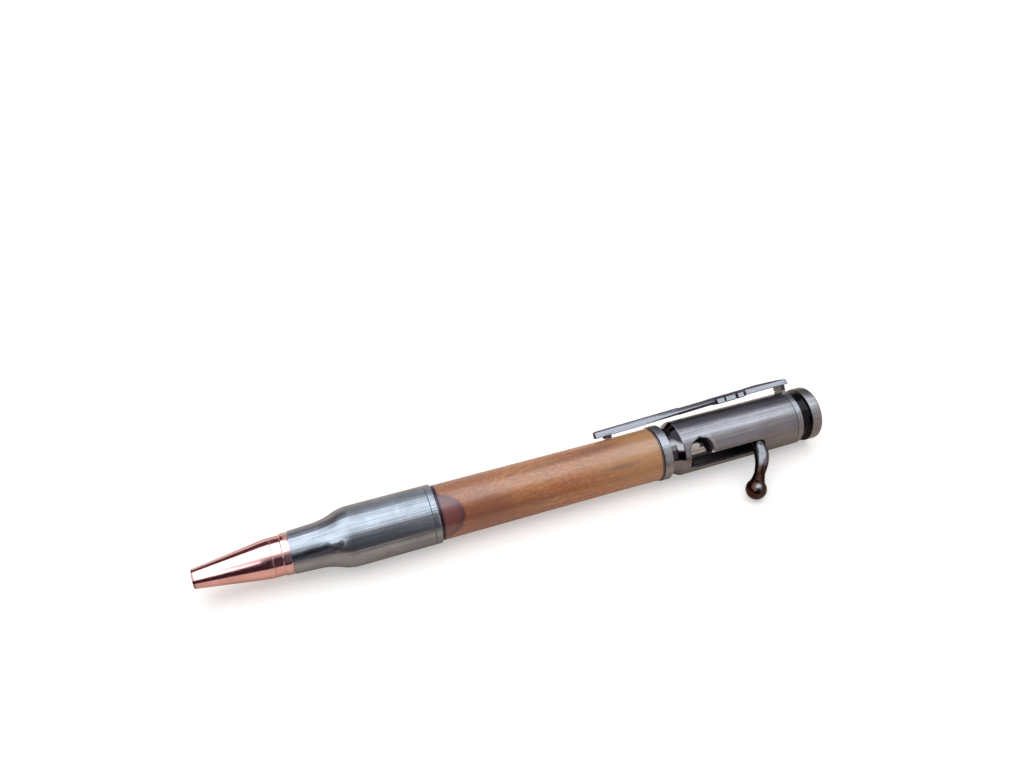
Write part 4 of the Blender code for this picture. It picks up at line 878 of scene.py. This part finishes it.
# the black lies on the flat of the outer face and its broken edge; under the fold of the near wall it is painted
# shade;
# it also lies in the notch of the action, on the foot and on the small faces across the clip
clip_out = pen_direction(CLIP_DEGREES)
clip_far = Vector((0, clip_out.z, -clip_out.y))
black_and_painted_shade = blade.data.attributes.new("black_and_painted_shade", "FLOAT", "FACE")
for polygon in blade.data.polygons:
    spot_on = (polygon.center - AXIS) / MM
    share = (spot_on.x - CLIP_FRONT) / CLIP_LENGTH
    height = spot_on.dot(clip_out)
    facing_out, facing_far = polygon.normal.dot(clip_out), polygon.normal.dot(clip_far)
    outer = facing_out > 0.8 and height < read_off(PROFILE, share, 2) + 0.02
    edge = facing_far < -0.2 and facing_out > 0.7
    under = facing_far < -0.3 and facing_out < 0.0
    notch = facing_far < -0.3 and 0.607 < share < 0.781 and spot_on.dot(clip_far) > -1.35
    below = height < read_off(PROFILE, share) - 0.05 and (share < 0.5 or facing_far < -0.3)
    across_end = abs(polygon.normal.x) > 0.8 and height > read_off(PROFILE, share)
    black_and_painted_shade.data[polygon.index].value = float(outer or edge or under or notch or below or across_end)


def clip_plate():
    """Gunmetal brushed along the clip, black on its sunk face and in its hollows, partly as painted shade."""
    finish, tree, shader = new_finish("cast gunmetal", 1.0, 0.3)
    brush = group_node(tree, DRAWN_LINES, Lines_per_m=4200.0, Marks_per_m=60.0, Turned=0.0)
    tone = times_plus(tree, brush["Fine"], 0.5, times(tree, brush["Broad"], 0.3))
    plate = mixed(tree, tone, (0.225, 0.225, 0.24), (0.12, 0.115, 0.13))
    hollow = add_node(tree, "ShaderNodeAttribute", attribute_name="black_and_painted_shade").outputs["Fac"]
    worn = times(tree, hollow, ranged(tree, group_node(tree, HANDLING)["Smudges"], 0.0, 1.0, 1.0, 0.82))
    tree.links.new(ranged(tree, worn, 0.0, 1.0, 1.0, 0.15), shader["Metallic"])
    gloss = times_plus(tree, worn, 0.35, times_plus(tree, brush["Fine"], 0.12, 0.17))
    lay_on(tree, shader, mixed(tree, worn, plate, (0.045, 0.022, 0.033)), gloss)
    raise_surface(tree, shader, brush["Height"], 0.006)
    return finish


stands_for(blade, "clip", "spring_clip", clip_plate())

# End cap: a turned cap with a polished dark neck, painted near black as dark reflection, and a broad rim in
# brushed pewter plate. A threaded steel rod holds it and the clip ring to the housing.
cap = lathe("end_cap_turned", [
    (141.35, 0), (141.35, 2.6), (138.15, 2.6), (138.15, 5.3, 0.05), (140.55, 5.3, 0.45), (140.55, 6.3, 0.15),
    (143.25, 6.3, 0.42), (143.25, 0)])


def cap_plate():
    """Brushed pewter on the rim and the end; on the neck, dark polish painted near black as dark reflection."""
    finish, tree, shader = new_finish("cap plate", 1.0, 0.3)
    brush = group_node(tree, DRAWN_LINES)
    marks = group_node(tree, TURNING_MARKS, Rings_per_m=7000.0)
    along = split(tree, from_axis(tree))[0]
    rim, end = within(tree, along, 140.45, 140.6), within(tree, along, 143.1, 143.2)
    lines = add_node(tree, "ShaderNodeMix", {0: end, 2: brush["Fine"], 3: marks["Rings"]}).outputs[0]
    tone = mixed(tree, lines, (0.29, 0.28, 0.29), (0.16, 0.15, 0.155))
    lay_on(tree, shader, mixed(tree, rim, (0.014, 0.012, 0.014), tone),
           times_plus(tree, rim, times_plus(tree, lines, 0.12, 0.2), 0.06))
    raise_surface(tree, shader, times(tree, lines, rim), 0.012)
    return finish


stands_for(cap, "end_cap", "barrel", cap_plate())
dress("cap_screw", turned_metal("threaded steel", (0.4, 0.4, 0.42), (0.6, 0.6, 0.62), 0.2, 0.36, 0.002))

# Studio: a pale floor, one large soft light overhead and one at the left, and glowing cards all round, dark and
# pale,
# that only the metal reflects: painted reflections. The camera stands where the photograph was taken from.
WHITE = (1.0, 1.0, 1.0, 1.0)
floor = new_piece("floor", bpy.ops.mesh.primitive_plane_add, size=7.0)
paper, tree, shader = new_finish("pale paper", 0.0, 0.9, Specular_IOR_Level=0.1)
seen = tree.nodes.new("ShaderNodeLightPath").outputs
# painted reflection: in the metal the floor shows darker and warmer than it lights the pieces
tone = mixed(tree, seen["Is Glossy Ray"], (0.92, 0.72, 0.59), (0.81, 0.61, 0.47))
tree.links.new(mixed(tree, seen["Is Camera Ray"], tone, (0.80, 0.70, 0.615)), shader["Base Color"])
distance = vector_maths(tree, "LENGTH", place_on(tree))
strength = times(tree, seen["Is Camera Ray"], ranged(tree, distance, 0.4, 1.6, 0.42, 1.0))
glow = add_node(tree, "ShaderNodeEmission", {"Color": WHITE, "Strength": strength})
lit = tree.nodes["Principled BSDF"].outputs[0]
both = add_node(tree, "ShaderNodeAddShader", {0: lit, 1: glow.outputs[0]})
tree.links.new(both.outputs[0], tree.nodes["Material Output"].inputs["Surface"])
floor.data.materials.append(paper)

world = bpy.data.worlds.new("studio")
bpy.context.scene.world = world
world.use_nodes = True
tree = world.node_tree
seen = tree.nodes.new("ShaderNodeLightPath").outputs
looked_at = larger(tree, seen["Is Camera Ray"], larger(tree, seen["Is Glossy Ray"], seen["Is Transmission Ray"]))
tree.links.new(ranged(tree, looked_at, 0.0, 1.0, 0.16, 1.0), tree.nodes["Background"].inputs["Strength"])
tree.nodes["Background"].inputs["Color"].default_value = WHITE

LIGHT_HEIGHT, LIGHT_RADIANCE = 0.8, 1.8


def soft_light(name, left, right, front, back):
    """A level rectangular light over the table, between two stations along it and two across it."""
    light = bpy.data.lights.new(name, "AREA")
    light.shape = "RECTANGLE"
    light.size, light.size_y = right - left, back - front
    light.energy = LIGHT_RADIANCE * math.pi * (right - left) * (back - front)
    light.color = (0.87, 1.0, 1.14)
    lamp = bpy.data.objects.new(name, light)
    lamp.location = ((left + right) / 2, (front + back) / 2, LIGHT_HEIGHT)
    lamp.visible_camera = False
    bpy.context.scene.collection.objects.link(lamp)


soft_light("softbox", -0.45, 0.85, -0.38, 0.70)
soft_light("window", -1.25, -0.45, -1.2, 0.5)


def reflection_card(name, corners, low, high):
    """A glowing card, dark or pale, that only shows as a painted reflection; its tone runs from its lower to its
    upper edge.
    """
    card = new_piece(name, bpy.ops.mesh.primitive_plane_add, size=1.0)
    for vertex, corner in zip(card.data.vertices, corners):
        vertex.co = corner
    card.visible_camera = card.visible_diffuse = card.visible_shadow = False
    card_glow, tree, shader = new_finish(name)
    heights = [corner[2] for corner in corners]
    share = ranged(tree, split(tree, place_on(tree))[2], min(heights), max(heights) + MM)
    tone = add_node(tree, "ShaderNodeEmission", {"Color": mixed(tree, share, low, high)})
    tree.links.new(tone.outputs[0], tree.nodes["Material Output"].inputs["Surface"])
    card.data.materials.append(card_glow)


def upright(left, right, at, low, high):
    """Corners of a card that stands across the table, in the order of a plane's."""
    return ((left, at, low), (right, at, low), (left, at, high), (right, at, high))


PLUM, SLATE, GREY = (0.05, 0.02, 0.034), (0.16, 0.13, 0.15), (0.85, 0.8, 0.85)
reflection_card("front_card", upright(-0.335, -0.13, -0.6, 0.0, 0.5), PLUM, PLUM)
reflection_card("front_middle_card", upright(-0.13, 0.22, -0.6, 0.0, 0.5), (0.09, 0.10, 0.13), (0.14, 0.16, 0.2))
reflection_card("front_left_card", upright(-1.1, -0.335, -0.6, 0.0, 0.3), PLUM, PLUM)
reflection_card("front_haze", upright(-0.335, 0.22, -0.61, 0.45, 1.0), PLUM, (0.8, 0.8, 0.85))
reflection_card("front_right_card", upright(0.16, 1.3, -0.6, 0.0, 0.38), (0.85, 0.74, 0.77), (0.8, 0.76, 0.8))
ON_FLOOR = 0.0008
reflection_card("front_floor_card", ((-1.1, -0.6, ON_FLOOR), (0.07, -0.6, ON_FLOOR), (-1.1, -0.034, ON_FLOOR),
                               (0.07, -0.034, ON_FLOOR)), PLUM, PLUM)
reflection_card("back_card", upright(-1.1, -0.07, 0.4, 0.09, 0.43), (0.10, 0.04, 0.055), (0.13, 0.06, 0.08))
reflection_card("back_middle_card", upright(-0.07, 0.14, 0.4, 0.05, 0.6), (0.45, 0.47, 0.52), (0.85, 0.9, 0.95))
reflection_card("back_right_card", upright(0.14, 1.1, 0.38, 0.01, 0.76), (0.07, 0.065, 0.085), (0.6, 0.6, 0.68))
for name, side, top, low, high in (("right_card", 1.1, 0.7, SLATE, GREY),
                                   ("left_card", -1.1, 0.5, PLUM, (0.2, 0.15, 0.17))):
    reflection_card(name, ((side, -0.6, 0.02), (side, 0.4, 0.02), (side, -0.6, top), (side, 0.4, top)), low, high)

sight = bpy.data.cameras.new("camera")
sight.sensor_width = 36.0
sight.lens = 29.70
sight.clip_start = 0.01
camera = bpy.data.objects.new("camera", sight)
bpy.context.scene.collection.objects.link(camera)
right = Vector((0.93898, -0.34376, 0.01164))
down = Vector((-0.22228, -0.63228, -0.74216))
ahead = Vector((0.26249, 0.69429, -0.67012))
turn = Matrix((right, -down, -ahead)).transposed()
camera.matrix_world = Matrix.Translation((-0.047696, -0.109268, 0.147740)) @ turn.to_4x4()
bpy.context.scene.camera = camera
bpy.context.scene.view_settings.view_transform = "Standard"
